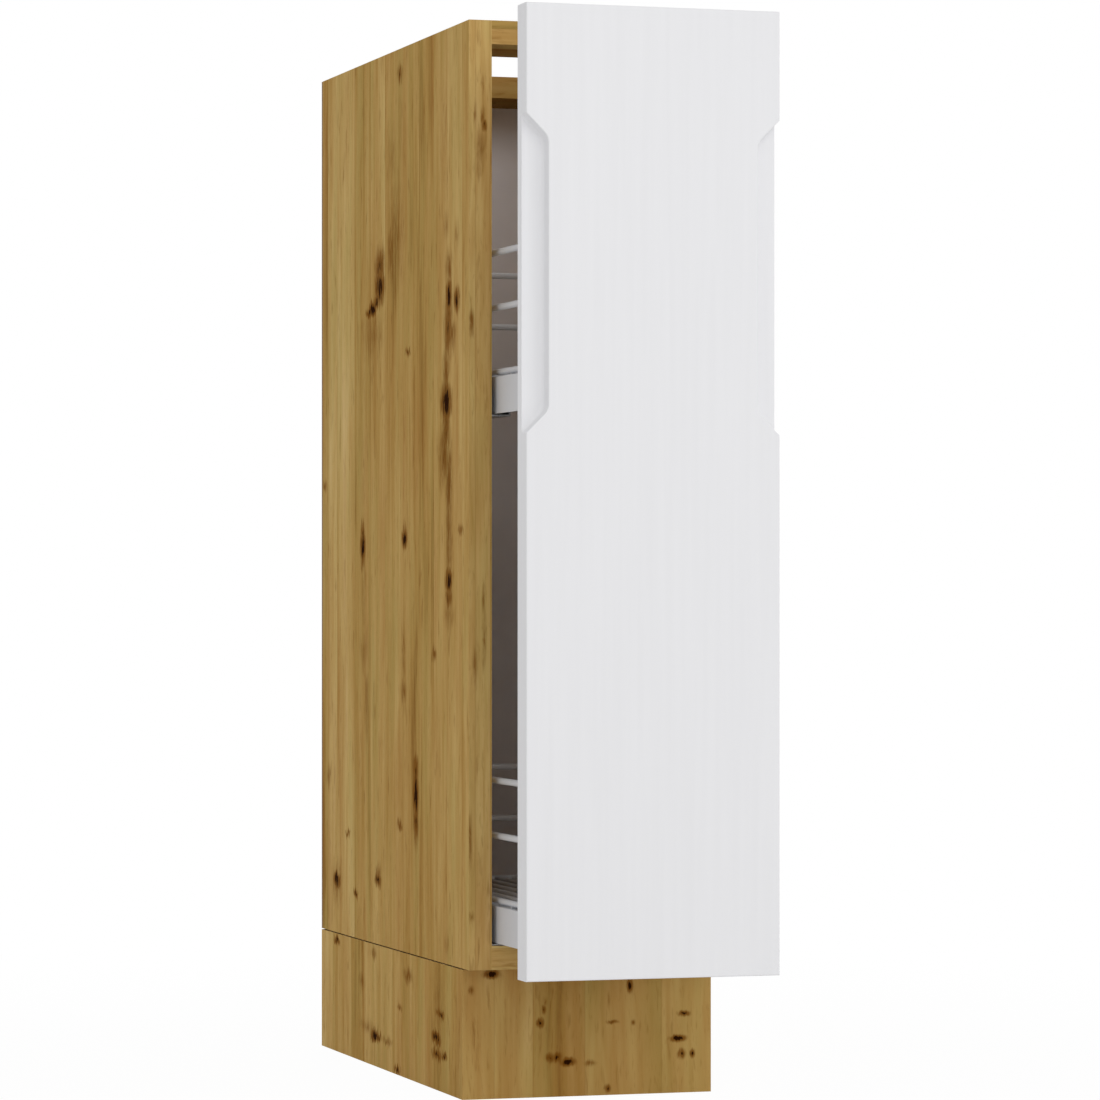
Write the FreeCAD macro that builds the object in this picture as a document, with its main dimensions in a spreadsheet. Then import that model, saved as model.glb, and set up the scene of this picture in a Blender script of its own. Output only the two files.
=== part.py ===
"""Pull-out pantry cabinet: a narrow base unit with two wire baskets behind one sliding front.

Millimetres, +Z up. X runs across the width, the front faces -Y, and the origin lies on the floor
under the middle of the whole cabinet with the pull-out drawn out to its stored opening.
"""
import FreeCAD, Part
import os
import re
from math import cos, radians, sin

import Sketcher

# Driving dimensions
SIZES = {
    # carcass and its boards
    "carcass_width": 200,
    "carcass_depth": 450,
    "carcass_height": 720,
    "board": 18,
    "edge_band": 1,
    "rail_depth": 80,
    "back_thickness": 3,
    # plinth
    "plinth_height": 100,
    "plinth_thickness": 16,
    "plinth_setback": 18,
    "plinth_top_gap": 1,
    "angle_leg": 24,
    "angle_sheet": 3,
    "angle_height": 60,
    # hidden board joints
    "cam_diameter": 15,
    "cam_height": 12.5,
    "cam_reach": 24,
    "bolt_diameter": 6,
    "bolt_neck": 5,
    "bolt_head": 7.5,
    "bolt_head_length": 4.5,
    "bolt_overrun": 1.5,
    "bolt_tip_gap": 1.5,
    "bolt_depth": 11,
    "bolt_channel": 8,
    "dowel_diameter": 8,
    "dowel_depth": 12,
    "dowel_reach": 23,
    "joint_inset": 24,
    "joint_pitch": 32,
    "hole_play": 0.05,
    "pin_diameter": 1.6,
    "pin_length": 16,
    "pin_head": 4.5,
    "pin_head_height": 0.8,
    "pin_inset": 40,
    # holes in the top rails for the worktop's screws
    "worktop_hole": 5,
    "worktop_hole_inset": 42,
    # legs
    "leg_offset": 45,
    "leg_inset_front": 68,
    "leg_inset_rear": 67,
    "leg_plate": 60,
    "leg_plate_thickness": 4,
    "leg_screw_pitch": 46,
    "leg_column": 30,
    "leg_bore": 16,
    "leg_bore_depth": 60,
    "foot_diameter": 48,
    "foot_height": 8,
    "foot_gap": 12,
    "foot_play": 0.3,
    "stem_reach": 40,
    "clip_wall": 3,
    "clip_height": 20,
    "clip_level": 45,
    "clip_arm": 14,
    "clip_mouth": 22,
    # screws that hold runners and legs
    "screw_diameter": 3.5,
    "screw_depth": 12,
    "screw_head": 7,
    "screw_head_height": 1.8,
    # front panel
    "front_thickness": 22,
    "front_bottom_reveal": 3,
    "front_top_reveal": 4,
    "front_side_reveal": 2,
    "front_edge_radius": 1,
    "rest_opening": 121,
    "closed_gap": 2,
    "grip_length": 233,
    "grip_width": 17,
    "grip_depth": 12,
    "grip_drop": 80.5,
    "grip_corner": 12,
    "grip_cove": 3,
    "front_screw": 4,
    "front_screw_depth": 14,
    "front_screw_head": 7.5,
    "front_screw_head_height": 2.2,
    "front_screw_pitch": 14,
    "pad_diameter": 9,
    "pad_height": 1.7,
    "pad_inset": 30,
    # runners
    "tier_pitch": 402,
    "runner_setback": 4,
    "runner_rear_gap": 43,
    "runner_sheet": 1.2,
    "runner_width": 16,
    "runner_flange": 20,
    "runner_screw_level": 13,
    "runner_screw_inset": 37,
    "middle_shortfall": 10,
    "moving_shortfall": 20,
    "middle_height": 18.2,
    "middle_gap": 0.8,
    "slide_play": 0.3,
    "lip_width": 5,
    "lip_play": 0.4,
    "roller_diameter": 4,
    "roller_length": 5,
    "roller_play": 0.05,
    "roller_window_play": 0.2,
    "cage_length": 180,
    "cage_sheet": 2.4,
    "cage_inset": 100,
    # trays
    "side_gap": 4,
    "tray_sheet": 1.2,
    "tray_ground_gap": 2,
    "tray_shortfall": 10,
    "tray_flange_overhang": 8,
    "cross_bar_width": 18,
    "cross_bar_sheet": 2,
    "cross_bar_play": 1,
    "rivet_diameter": 4,
    "rivet_head": 6.5,
    "rivet_head_height": 1,
    # wire baskets
    "border_wire": 4.5,
    "floor_wire": 3.5,
    "cross_wire": 2.5,
    "guard_wire": 5,
    "post_wire": 4,
    "weld_depth": 0.3,
    "basket_side_gap": 8,
    "basket_front_gap": 10,
    "basket_rear_gap": 4,
    "basket_corner": 20,
    "guard_low": 53,
    "guard_high": 95,
    "post_inset": 28,
    "clip_width": 14,
    "clip_depth": 15,
    "clip_tall": 12,
    "clip_slit": 3,
    "clip_offset": 45,
    "peg_diameter": 8,
    "peg_depth": 11,
}

# How many of each repeated piece
FLOOR_WIRES = 9
CROSS_WIRES = 12
ROLLERS_PER_CAGE = 5
PINS_PER_SIDE = 4

SIDES = ("left", "right")
OPPOSITE = {"left": "right", "right": "left"}
TIERS = ("lower", "upper")

doc = FreeCAD.newDocument("PullOutPantryCabinet")
sheet = doc.addObject("Spreadsheet::Sheet", "Sizes")
for row, (alias, size) in enumerate(SIZES.items(), start=1):
    sheet.set(f"A{row}", alias)
    sheet.set(f"B{row}", str(size))
    sheet.setAlias(f"B{row}", alias)
doc.recompute()

# Places worked out from the driving dimensions, each a formula in brackets
FRONT_PLANE = "((front_thickness + rest_opening - carcass_depth) / 2)"
BACK_PLANE = f"({FRONT_PLANE} + carcass_depth)"
BOARD_REAR = f"({BACK_PLANE} - back_thickness)"
BOARD_FRONT = f"({FRONT_PLANE} + edge_band)"
CARCASS_TOP = "(plinth_height + carcass_height)"
HALF_WIDTH = "(carcass_width / 2)"
INNER_HALF = f"({HALF_WIDTH} - board)"
FRONT_BACK = f"({FRONT_PLANE} - rest_opening)"
FRONT_FACE = f"({FRONT_BACK} - front_thickness)"
FRONT_BOTTOM = "(plinth_height + front_bottom_reveal)"
FRONT_WIDTH = "(carcass_width - 2 * front_side_reveal)"
FRONT_HEIGHT = "(carcass_height - front_bottom_reveal - front_top_reveal)"
REST_TRAVEL = "(rest_opening - closed_gap)"

# Runner section: heights over the runner's base, and distances from the side panel
RUNNER_LENGTH = "(carcass_depth - back_thickness - runner_setback - runner_rear_gap)"
RUNNER_FRONT = f"({FRONT_PLANE} + runner_setback)"
ROLLER_ROOM = "(roller_diameter + 2 * roller_play)"
MIDDLE_BOTTOM = f"(runner_sheet + {ROLLER_ROOM})"
MIDDLE_TOP = f"({MIDDLE_BOTTOM} + middle_height)"
MOVING_BOTTOM = f"({MIDDLE_TOP} + {ROLLER_ROOM})"
MOVING_TOP = f"({MOVING_BOTTOM} + runner_sheet)"
TRAY_TOP = f"({MOVING_TOP} + tray_sheet)"
SKIRT_INNER = "(side_gap + tray_sheet)"
MIDDLE_OUTER = f"({SKIRT_INNER} + middle_gap)"
MIDDLE_INNER = "(runner_width - runner_sheet - slide_play)"
TRAY_FLANGE_END = "(runner_width + tray_flange_overhang)"
TRAY_LENGTH = f"({RUNNER_LENGTH} - tray_shortfall)"

# Basket places
BASKET_HALF = f"({INNER_HALF} - basket_side_gap)"
BASKET_FRONT = f"({FRONT_BACK} + basket_front_gap)"
BASKET_REAR = f"({FRONT_BACK} + {TRAY_LENGTH} - basket_rear_gap)"
CROSS_PITCH = f"(({BASKET_REAR} - {BASKET_FRONT}) / {CROSS_WIRES + 1})"
FLOOR_LEVEL = "(cross_wire + floor_wire / 2 - weld_depth)"

TIER_BASE = {
    "lower": "(plinth_height + board)",
    "upper": "(plinth_height + board + tier_pitch)",
}

# Corners closer than this to a plane lie on it
TOUCH = 1e-6

nodes = []


def bind(target, name, formula):
    """Tie one property to a formula whose words are sizes in the sheet."""
    target.setExpression(name, re.sub(r"[a-z_]+", lambda word: "Sizes." + word.group(), formula))


def place(target, spot):
    """Tie an object's position to three formulas."""
    for axis, formula in zip("xyz", spot):
        bind(target, f"Placement.Base.{axis}", formula)


def keep(target, label, solids=1):
    """Name a finished sub-part and note how many separate solids it holds."""
    target.Label = label
    nodes.append((target, solids))
    return target


def block(name, x, y, z):
    """A box between two formulas along each axis."""
    solid = doc.addObject("Part::Box", name)
    for edge, (low, high) in zip(("Length", "Width", "Height"), (x, y, z)):
        bind(solid, edge, f"({high}) - ({low})")
    place(solid, (x[0], y[0], z[0]))
    return solid


TURNS = {
    "x": FreeCAD.Rotation(FreeCAD.Vector(0, 1, 0), 90),
    "y": FreeCAD.Rotation(FreeCAD.Vector(1, 0, 0), -90),
    "z": FreeCAD.Rotation(),
}


def rod(name, along, diameter, low, high, across):
    """A round bar along one axis, from low to high, at two places across that axis."""
    solid = doc.addObject("Part::Cylinder", name)
    bind(solid, "Radius", f"({diameter}) / 2")
    bind(solid, "Height", f"({high}) - ({low})")
    solid.Placement = FreeCAD.Placement(FreeCAD.Vector(), TURNS[along])
    spot = list(across)
    spot.insert("xyz".index(along), low)
    place(solid, spot)
    return solid


def joined(name, pieces):
    """Several solids made one."""
    solid = doc.addObject("Part::MultiFuse", name)
    solid.Shapes = pieces
    solid.Refine = True
    return solid


def carved(name, base, tools):
    """A solid with holes or slots cut out of it."""
    solid = doc.addObject("Part::Cut", name)
    solid.Base = base
    solid.Tool = tools[0] if len(tools) == 1 else joined(f"{name}_tools", tools)
    return solid


def gathered(name, pieces):
    """Like pieces held in one node as separate solids."""
    group = doc.addObject("Part::Compound", name)
    group.Links = pieces
    return group


def inward(side, wall, near, far):
    """X limits of what lies between two distances inward from a wall on one side."""
    if side == "left":
        return f"-{wall} + ({near})", f"-{wall} + ({far})"
    return f"{wall} - ({far})", f"{wall} - ({near})"


def from_side(side, near, far):
    """X limits of what lies between two distances inward from a side panel's inner face."""
    return inward(side, INNER_HALF, near, far)


def signed(side, formula):
    """A distance from the middle plane, towards one side."""
    return f"-({formula})" if side == "left" else f"({formula})"


def own_plane(body, role):
    """One of a body's own base planes."""
    return next(plane for plane in body.Origin.OriginFeatures if plane.Role == role)


def outline_sketch(body, name, outlines):
    """A sketch on the body's XZ plane, with every corner of its outlines tied to two formulas."""
    sketch = body.newObject("Sketcher::SketchObject", name)
    sketch.AttachmentSupport = (own_plane(body, "XZ_Plane"), [""])
    sketch.MapMode = "FlatFace"
    for outline in outlines:
        first = sketch.GeometryCount
        count = len(outline)
        turns = [radians(360 * corner / count) for corner in range(count)]
        starts = [FreeCAD.Vector(cos(turn), sin(turn), 0) for turn in turns]
        for corner in range(count):
            sketch.addGeometry(Part.LineSegment(starts[corner], starts[(corner + 1) % count]), False)
        for corner, (across, up) in enumerate(outline):
            line = first + corner
            following = first + (corner + 1) % count
            sketch.addConstraint(Sketcher.Constraint("Coincident", line, 2, following, 1))
            for kind, formula in (("DistanceX", across), ("DistanceY", up)):
                index = sketch.addConstraint(Sketcher.Constraint(kind, -1, 1, line, 1, 1.0))
                bind(sketch, f"Constraints[{index}]", formula)
    return sketch


def profile_bar(name, outline, length, spot):
    """A body with one constant section, drawn in XZ and drawn out towards +Y."""
    body = doc.addObject("PartDesign::Body", name)
    sketch = outline_sketch(body, f"{name}_section", [outline])
    pad = body.newObject("PartDesign::Pad", f"{name}_length")
    pad.Profile = sketch
    pad.Reversed = True
    bind(pad, "Length", length)
    place(body, spot)
    return body


# Board joints: distance from the front plane, height, and the board whose end is held
JOINT_FRONT = f"({FRONT_PLANE} + joint_inset)"
JOINT_FRONT_DOWEL = f"({JOINT_FRONT} + joint_pitch)"
JOINT_REAR = f"({BOARD_REAR} - joint_inset)"
JOINT_REAR_DOWEL = f"({JOINT_REAR} - joint_pitch)"
BOTTOM_MIDDLE = "(plinth_height + board / 2)"
TOP_MIDDLE = f"({CARCASS_TOP} - board / 2)"
CAM_JOINTS = (
    ("bottom_panel", JOINT_FRONT, BOTTOM_MIDDLE),
    ("bottom_panel", JOINT_REAR, BOTTOM_MIDDLE),
    ("top_rail_front", JOINT_FRONT, TOP_MIDDLE),
    ("top_rail_rear", JOINT_REAR, TOP_MIDDLE),
)
DOWEL_JOINTS = (
    ("bottom_panel", JOINT_FRONT_DOWEL, BOTTOM_MIDDLE),
    ("bottom_panel", JOINT_REAR_DOWEL, BOTTOM_MIDDLE),
    ("top_rail_front", JOINT_FRONT_DOWEL, TOP_MIDDLE),
    ("top_rail_rear", JOINT_REAR_DOWEL, TOP_MIDDLE),
)
cuts = {
    board: []
    for board in ("side_panel_left", "side_panel_right", "bottom_panel", "top_rail_front",
                  "top_rail_rear", "back_panel", "front_panel")
}


def drill(board, along, diameter, low, high, across):
    """Note a round hole to be cut out of a board, a little wider than what goes in it."""
    wide = f"({diameter}) + 2 * hole_play"
    cuts[board].append(rod(f"{board}_hole", along, wide, low, high, across))


def cam_fittings():
    """Cam locks in the board ends with their bolts in the side panels."""
    locks = []
    bolts = []
    for side in SIDES:
        for board, depth, level in CAM_JOINTS:
            across = (depth, level)
            thread = from_side(side, "-bolt_depth", "0")
            tip = "(cam_reach + bolt_overrun)"
            neck_end = f"{tip} - bolt_head_length"
            neck = from_side(side, "0", neck_end)
            head = from_side(side, neck_end, tip)
            bolts.append(joined("cam_bolt", [
                rod("cam_bolt_thread", "x", "bolt_diameter", *thread, across),
                rod("cam_bolt_neck", "x", "bolt_neck", *neck, across),
                rod("cam_bolt_head", "x", "bolt_head", *head, across),
            ]))
            drill(f"side_panel_{side}", "x", "bolt_diameter", *thread, across)
            channel = from_side(side, "0", f"{tip} + bolt_tip_gap")
            drill(board, "x", "bolt_channel", *channel, across)
            middle = signed(side, f"{INNER_HALF} - cam_reach")
            if board == "bottom_panel":
                low, high = "plinth_height", "plinth_height + cam_height"
            else:
                low, high = f"{CARCASS_TOP} - cam_height", CARCASS_TOP
            lock = rod("cam_body", "z", "cam_diameter", low, high, (middle, depth))
            drill(board, "z", "cam_diameter", low, high, (middle, depth))
            mouth = rod("cam_mouth", "x", "bolt_channel", *channel, across)
            locks.append(carved("cam_lock", lock, [mouth]))
    keep(gathered("cam_locks", locks), "cam_locks", len(locks))
    keep(gathered("cam_bolts", bolts), "cam_bolts", len(bolts))


def dowels():
    """Beech dowels between the side panels and the ends of the other boards."""
    pegs = []
    for side in SIDES:
        for board, depth, level in DOWEL_JOINTS:
            across = (depth, level)
            pegs.append(rod("dowel", "x", "dowel_diameter",
                            *from_side(side, "-dowel_depth", "dowel_reach"), across))
            drill(f"side_panel_{side}", "x", "dowel_diameter",
                  *from_side(side, "-dowel_depth", "0"), across)
            drill(board, "x", "dowel_diameter", *from_side(side, "0", "dowel_reach"), across)
    keep(gathered("wood_dowels", pegs), "wood_dowels", len(pegs))


def back_pins():
    """Pins through the back panel into the sides, the bottom and the rear rail."""
    spots = []
    span = "(carcass_height - 2 * pin_inset)"
    for side in SIDES:
        for pin in range(PINS_PER_SIDE):
            level = f"plinth_height + pin_inset + {span} * {pin} / {PINS_PER_SIDE - 1}"
            spots.append((f"side_panel_{side}", signed(side, f"{HALF_WIDTH} - board / 2"), level))
    spots.append(("bottom_panel", "0", BOTTOM_MIDDLE))
    spots.append(("top_rail_rear", "0", TOP_MIDDLE))
    pins = []
    neck = f"{BACK_PLANE} - pin_head_height"
    point = f"{BACK_PLANE} - pin_length"
    for board, across, level in spots:
        spot = (across, level)
        pins.append(joined("pin", [
            rod("pin_shank", "y", "pin_diameter", point, neck, spot),
            rod("pin_top", "y", "pin_head", neck, BACK_PLANE, spot),
        ]))
        drill(board, "y", "pin_diameter", point, BOARD_REAR, spot)
        drill("back_panel", "y", "pin_diameter", BOARD_REAR, neck, spot)
        drill("back_panel", "y", "pin_head", neck, BACK_PLANE, spot)
    keep(gathered("back_panel_pins", pins), "back_panel_pins", len(pins))


def worktop_holes():
    """Upright holes in the top rails for the screws that hold a worktop."""
    for side in SIDES:
        across = signed(side, f"{INNER_HALF} - worktop_hole_inset")
        levels = (f"{CARCASS_TOP} - board", CARCASS_TOP)
        for board, depth in (("top_rail_front", f"{FRONT_PLANE} + rail_depth / 2"),
                             ("top_rail_rear", f"{BOARD_REAR} - rail_depth / 2")):
            hole = rod("worktop_screw_hole", "z", "worktop_hole", *levels, (across, depth))
            cuts[board].append(hole)


def boards():
    """Carcass boards with all their holes, and the edging on their front edges."""
    inside = (f"-{INNER_HALF}", INNER_HALF)
    bottom = ("plinth_height", "plinth_height + board")
    top = (f"{CARCASS_TOP} - board", CARCASS_TOP)
    upright = ("plinth_height", CARCASS_TOP)
    side_x = {
        "left": (f"-{HALF_WIDTH}", f"-{INNER_HALF}"),
        "right": (INNER_HALF, HALF_WIDTH),
    }
    plain = {
        "bottom_panel": (inside, (BOARD_FRONT, BOARD_REAR), bottom),
        "top_rail_front": (inside, (BOARD_FRONT, f"{FRONT_PLANE} + rail_depth"), top),
        "top_rail_rear": (inside, (f"{BOARD_REAR} - rail_depth", BOARD_REAR), top),
        "back_panel": ((f"-{HALF_WIDTH}", HALF_WIDTH), (BOARD_REAR, BACK_PLANE), upright),
    }
    for side in SIDES:
        plain[f"side_panel_{side}"] = (side_x[side], (BOARD_FRONT, BOARD_REAR), upright)
    for board, limits in plain.items():
        keep(carved(board, block(f"{board}_blank", *limits), cuts[board]), board)
    edge = (FRONT_PLANE, BOARD_FRONT)
    bands = [block("band_side", side_x[side], edge, upright) for side in SIDES]
    bands += [block("band_board", inside, edge, level) for level in (bottom, top)]
    keep(gathered("edge_bands", bands), "edge_bands", len(bands))


PLINTH_FACE = f"({FRONT_PLANE} + plinth_setback)"
PLINTH_INNER = f"({PLINTH_FACE} + plinth_thickness)"
PLINTH_INNER_HALF = f"({HALF_WIDTH} - plinth_thickness)"
LEG_DEPTH = {
    "front": f"({FRONT_PLANE} + leg_inset_front)",
    "rear": f"({BOARD_REAR} - leg_inset_rear)",
}


def plinth():
    """Plinth boards, the angles in their corners and the clips that hold them to the legs."""
    tall = ("0", "plinth_height - plinth_top_gap")
    full = (f"-{HALF_WIDTH}", HALF_WIDTH)
    keep(block("plinth_front", full, (PLINTH_FACE, PLINTH_INNER), tall), "plinth_front")
    side_x = {
        "left": (f"-{HALF_WIDTH}", f"-{PLINTH_INNER_HALF}"),
        "right": (PLINTH_INNER_HALF, HALF_WIDTH),
    }
    for side in SIDES:
        keep(block("plinth_side", side_x[side], (PLINTH_INNER, BACK_PLANE), tall),
             f"plinth_side_{side}")
    angles = []
    middle = "(plinth_height / 2)"
    levels = (f"{middle} - angle_height / 2", f"{middle} + angle_height / 2")
    for side in SIDES:
        angles.append(joined("corner_angle", [
            block("angle_on_side", inward(side, PLINTH_INNER_HALF, "0", "angle_sheet"),
                  (PLINTH_INNER, f"{PLINTH_INNER} + angle_leg"), levels),
            block("angle_on_front", inward(side, PLINTH_INNER_HALF, "0", "angle_leg"),
                  (PLINTH_INNER, f"{PLINTH_INNER} + angle_sheet"), levels),
        ]))
    keep(gathered("plinth_corner_angles", angles), "plinth_corner_angles", len(angles))


def plinth_clips():
    """Spring clips round the leg columns: the front pair hold the plinth front, the rear pair
    hold the side boards."""
    clips = []
    levels = ("clip_level", "clip_level + clip_height")
    bore = "leg_column + 2 * hole_play"
    ring = f"({bore} + 2 * clip_wall)"
    for side in SIDES:
        across = signed(side, "leg_offset")
        for end, depth in LEG_DEPTH.items():
            collar = rod("clip_ring", "z", ring, *levels, (across, depth))
            hole = rod("clip_bore", "z", bore, *levels, (across, depth))
            arm_half = "clip_arm / 2"
            mouth_half = "clip_mouth / 2"
            if end == "front":
                width = (f"{across} - {arm_half}", f"{across} + {arm_half}")
                arm = block("clip_arm", width, (PLINTH_INNER, depth), levels)
                open_x = (f"{across} - {mouth_half}", f"{across} + {mouth_half}")
                mouth = block("clip_mouth", open_x, (depth, f"{depth} + {ring}"), levels)
            else:
                reach = (across, PLINTH_INNER_HALF)
                away = (f"{across} - {ring}", across)
                if side == "left":
                    reach = (f"-{PLINTH_INNER_HALF}", across)
                    away = (across, f"{across} + {ring}")
                arm = block("clip_arm", reach,
                            (f"{depth} - {arm_half}", f"{depth} + {arm_half}"), levels)
                mouth = block("clip_mouth", away,
                              (f"{depth} - {mouth_half}", f"{depth} + {mouth_half}"), levels)
            clips.append(carved("plinth_clip", joined("clip_blank", [collar, arm]), [hole, mouth]))
    keep(gathered("plinth_clips", clips), "plinth_clips", len(clips))


def legs():
    """Four legs: a socket screwed under the bottom panel and a foot on a stem inside it."""
    screws = []
    plate_top = "plinth_height"
    plate_bottom = "plinth_height - leg_plate_thickness"
    column_bottom = "(foot_height + foot_gap)"
    for side in SIDES:
        across = signed(side, "leg_offset")
        for end, depth in LEG_DEPTH.items():
            half = "leg_plate / 2"
            plate = block("leg_plate", (f"{across} - {half}", f"{across} + {half}"),
                          (f"{depth} - {half}", f"{depth} + {half}"), (plate_bottom, plate_top))
            column = rod("leg_column", "z", "leg_column", column_bottom, plate_top, (across, depth))
            bore = rod("leg_bore", "z", "leg_bore", column_bottom,
                       f"{column_bottom} + leg_bore_depth", (across, depth))
            holes = [bore]
            for step_x in (-1, 1):
                for step_y in (-1, 1):
                    spot = (f"{across} + {step_x} * leg_screw_pitch / 2",
                            f"{depth} + {step_y} * leg_screw_pitch / 2")
                    point = "plinth_height + screw_depth"
                    screws.append(joined("leg_screw", [
                        rod("leg_screw_shank", "z", "screw_diameter", plate_bottom, point, spot),
                        rod("leg_screw_head", "z", "screw_head",
                            f"{plate_bottom} - screw_head_height", plate_bottom, spot),
                    ]))
                    holes.append(rod("plate_hole", "z", "screw_diameter + 2 * hole_play",
                                     plate_bottom, plate_top, spot))
                    drill("bottom_panel", "z", "screw_diameter", plate_top, point, spot)
            socket = carved("leg_socket", joined("leg_socket_blank", [plate, column]), holes)
            keep(socket, f"leg_socket_{end}_{side}")
            disc = rod("foot_disc", "z", "foot_diameter", "0", "foot_height", (across, depth))
            stem = rod("foot_stem", "z", "leg_bore - 2 * foot_play", "0",
                       f"{column_bottom} + stem_reach", (across, depth))
            keep(joined("leg_foot", [disc, stem]), f"leg_foot_{end}_{side}")
    keep(gathered("leg_screws", screws), "leg_screws", len(screws))


LIP_BOTTOM = f"({MIDDLE_BOTTOM} + runner_sheet + lip_play)"
LIP_TOP = f"({LIP_BOTTOM} + runner_sheet)"
HOOK_TOP = f"({MIDDLE_TOP} - runner_sheet - lip_play)"
HOOK_BOTTOM = f"({HOOK_TOP} - runner_sheet)"
LIP_EDGE = "(runner_width - lip_width)"
UPRIGHT = "(runner_width - runner_sheet)"
FIXED_SECTION = (
    ("0", "0"), ("runner_width", "0"), ("runner_width", LIP_TOP), (LIP_EDGE, LIP_TOP),
    (LIP_EDGE, LIP_BOTTOM), (UPRIGHT, LIP_BOTTOM), (UPRIGHT, "runner_sheet"),
    ("runner_sheet", "runner_sheet"), ("runner_sheet", "runner_flange"), ("0", "runner_flange"),
)
MIDDLE_SECTION = (
    (MIDDLE_OUTER, MIDDLE_BOTTOM), (MIDDLE_INNER, MIDDLE_BOTTOM),
    (MIDDLE_INNER, f"{MIDDLE_BOTTOM} + runner_sheet"),
    (f"{MIDDLE_OUTER} + runner_sheet", f"{MIDDLE_BOTTOM} + runner_sheet"),
    (f"{MIDDLE_OUTER} + runner_sheet", f"{MIDDLE_TOP} - runner_sheet"),
    (MIDDLE_INNER, f"{MIDDLE_TOP} - runner_sheet"), (MIDDLE_INNER, MIDDLE_TOP),
    (MIDDLE_OUTER, MIDDLE_TOP),
)
MOVING_SECTION = (
    (MIDDLE_OUTER, MOVING_BOTTOM), (UPRIGHT, MOVING_BOTTOM), (UPRIGHT, HOOK_TOP),
    (LIP_EDGE, HOOK_TOP), (LIP_EDGE, HOOK_BOTTOM), ("runner_width", HOOK_BOTTOM),
    ("runner_width", MOVING_TOP), (MIDDLE_OUTER, MOVING_TOP),
)
MOVING_FRONT = f"({RUNNER_FRONT} - {REST_TRAVEL})"
MIDDLE_LENGTH = f"({RUNNER_LENGTH} - middle_shortfall)"
MOVING_LENGTH = f"({RUNNER_LENGTH} - moving_shortfall)"


def rail(name, tier, side, section, front, length):
    """One runner member of constant section, drawn inward from one side panel."""
    turned = [(signed(OPPOSITE[side], across), up) for across, up in section]
    corner = signed(side, INNER_HALF)
    return profile_bar(f"{name}_{tier}_{side}", turned, length, (corner, front, TIER_BASE[tier]))


def rivet_spots():
    """Depths of the rivets along a tray side, each half way between two cross wires."""
    steps = (1.5, CROSS_WIRES / 2 + 0.5, CROSS_WIRES - 0.5)
    return [f"({BASKET_FRONT} + {CROSS_PITCH} * {step})" for step in steps]


BAR_SPOTS = [f"({BASKET_FRONT} + {CROSS_PITCH} * {step})" for step in (0.5, CROSS_WIRES + 0.5)]
RIVET_LINE = f"(({MIDDLE_OUTER} + runner_width) / 2)"
BAR_EDGE = "(runner_width + cross_bar_play)"
BAR_LINE = f"(({BAR_EDGE} + {TRAY_FLANGE_END}) / 2)"


def runners():
    """Three-part runners under both edges of each tray, with their screws."""
    screws = []
    screw_spots = (
        f"{RUNNER_FRONT} + runner_screw_inset",
        f"{RUNNER_FRONT} + {RUNNER_LENGTH} / 2",
        f"{RUNNER_FRONT} + {RUNNER_LENGTH} - runner_screw_inset",
    )
    for tier in TIERS:
        level = f"{TIER_BASE[tier]} + runner_screw_level"
        for side in SIDES:
            fixed = rail("fixed", tier, side, FIXED_SECTION, RUNNER_FRONT, RUNNER_LENGTH)
            holes = []
            for depth in screw_spots:
                across = (depth, level)
                shank = from_side(side, "-screw_depth", "runner_sheet")
                head = from_side(side, "runner_sheet", "runner_sheet + screw_head_height")
                screws.append(joined("runner_screw", [
                    rod("runner_screw_shank", "x", "screw_diameter", *shank, across),
                    rod("runner_screw_head", "x", "screw_head", *head, across),
                ]))
                holes.append(rod("flange_hole", "x", "screw_diameter + 2 * hole_play",
                                 *from_side(side, "0", "runner_sheet"), across))
                drill(f"side_panel_{side}", "x", "screw_diameter",
                      *from_side(side, "-screw_depth", "0"), across)
            keep(carved("runner_fixed", fixed, holes), f"runner_fixed_{tier}_{side}")
            middle_front = f"{RUNNER_FRONT} - {REST_TRAVEL} / 2"
            keep(rail("middle", tier, side, MIDDLE_SECTION, middle_front, MIDDLE_LENGTH),
                 f"runner_middle_{tier}_{side}")
            moving = rail("moving", tier, side, MOVING_SECTION, MOVING_FRONT, MOVING_LENGTH)
            across = signed(side, f"{INNER_HALF} - {RIVET_LINE}")
            base = TIER_BASE[tier]
            holes = [rod("web_hole", "z", "rivet_diameter + 2 * hole_play", f"{base} + {MOVING_BOTTOM}",
                         f"{base} + {MOVING_TOP}", (across, depth)) for depth in rivet_spots()]
            keep(carved("runner_moving", moving, holes), f"runner_moving_{tier}_{side}")
    keep(gathered("runner_screws", screws), "runner_screws", len(screws))


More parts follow.
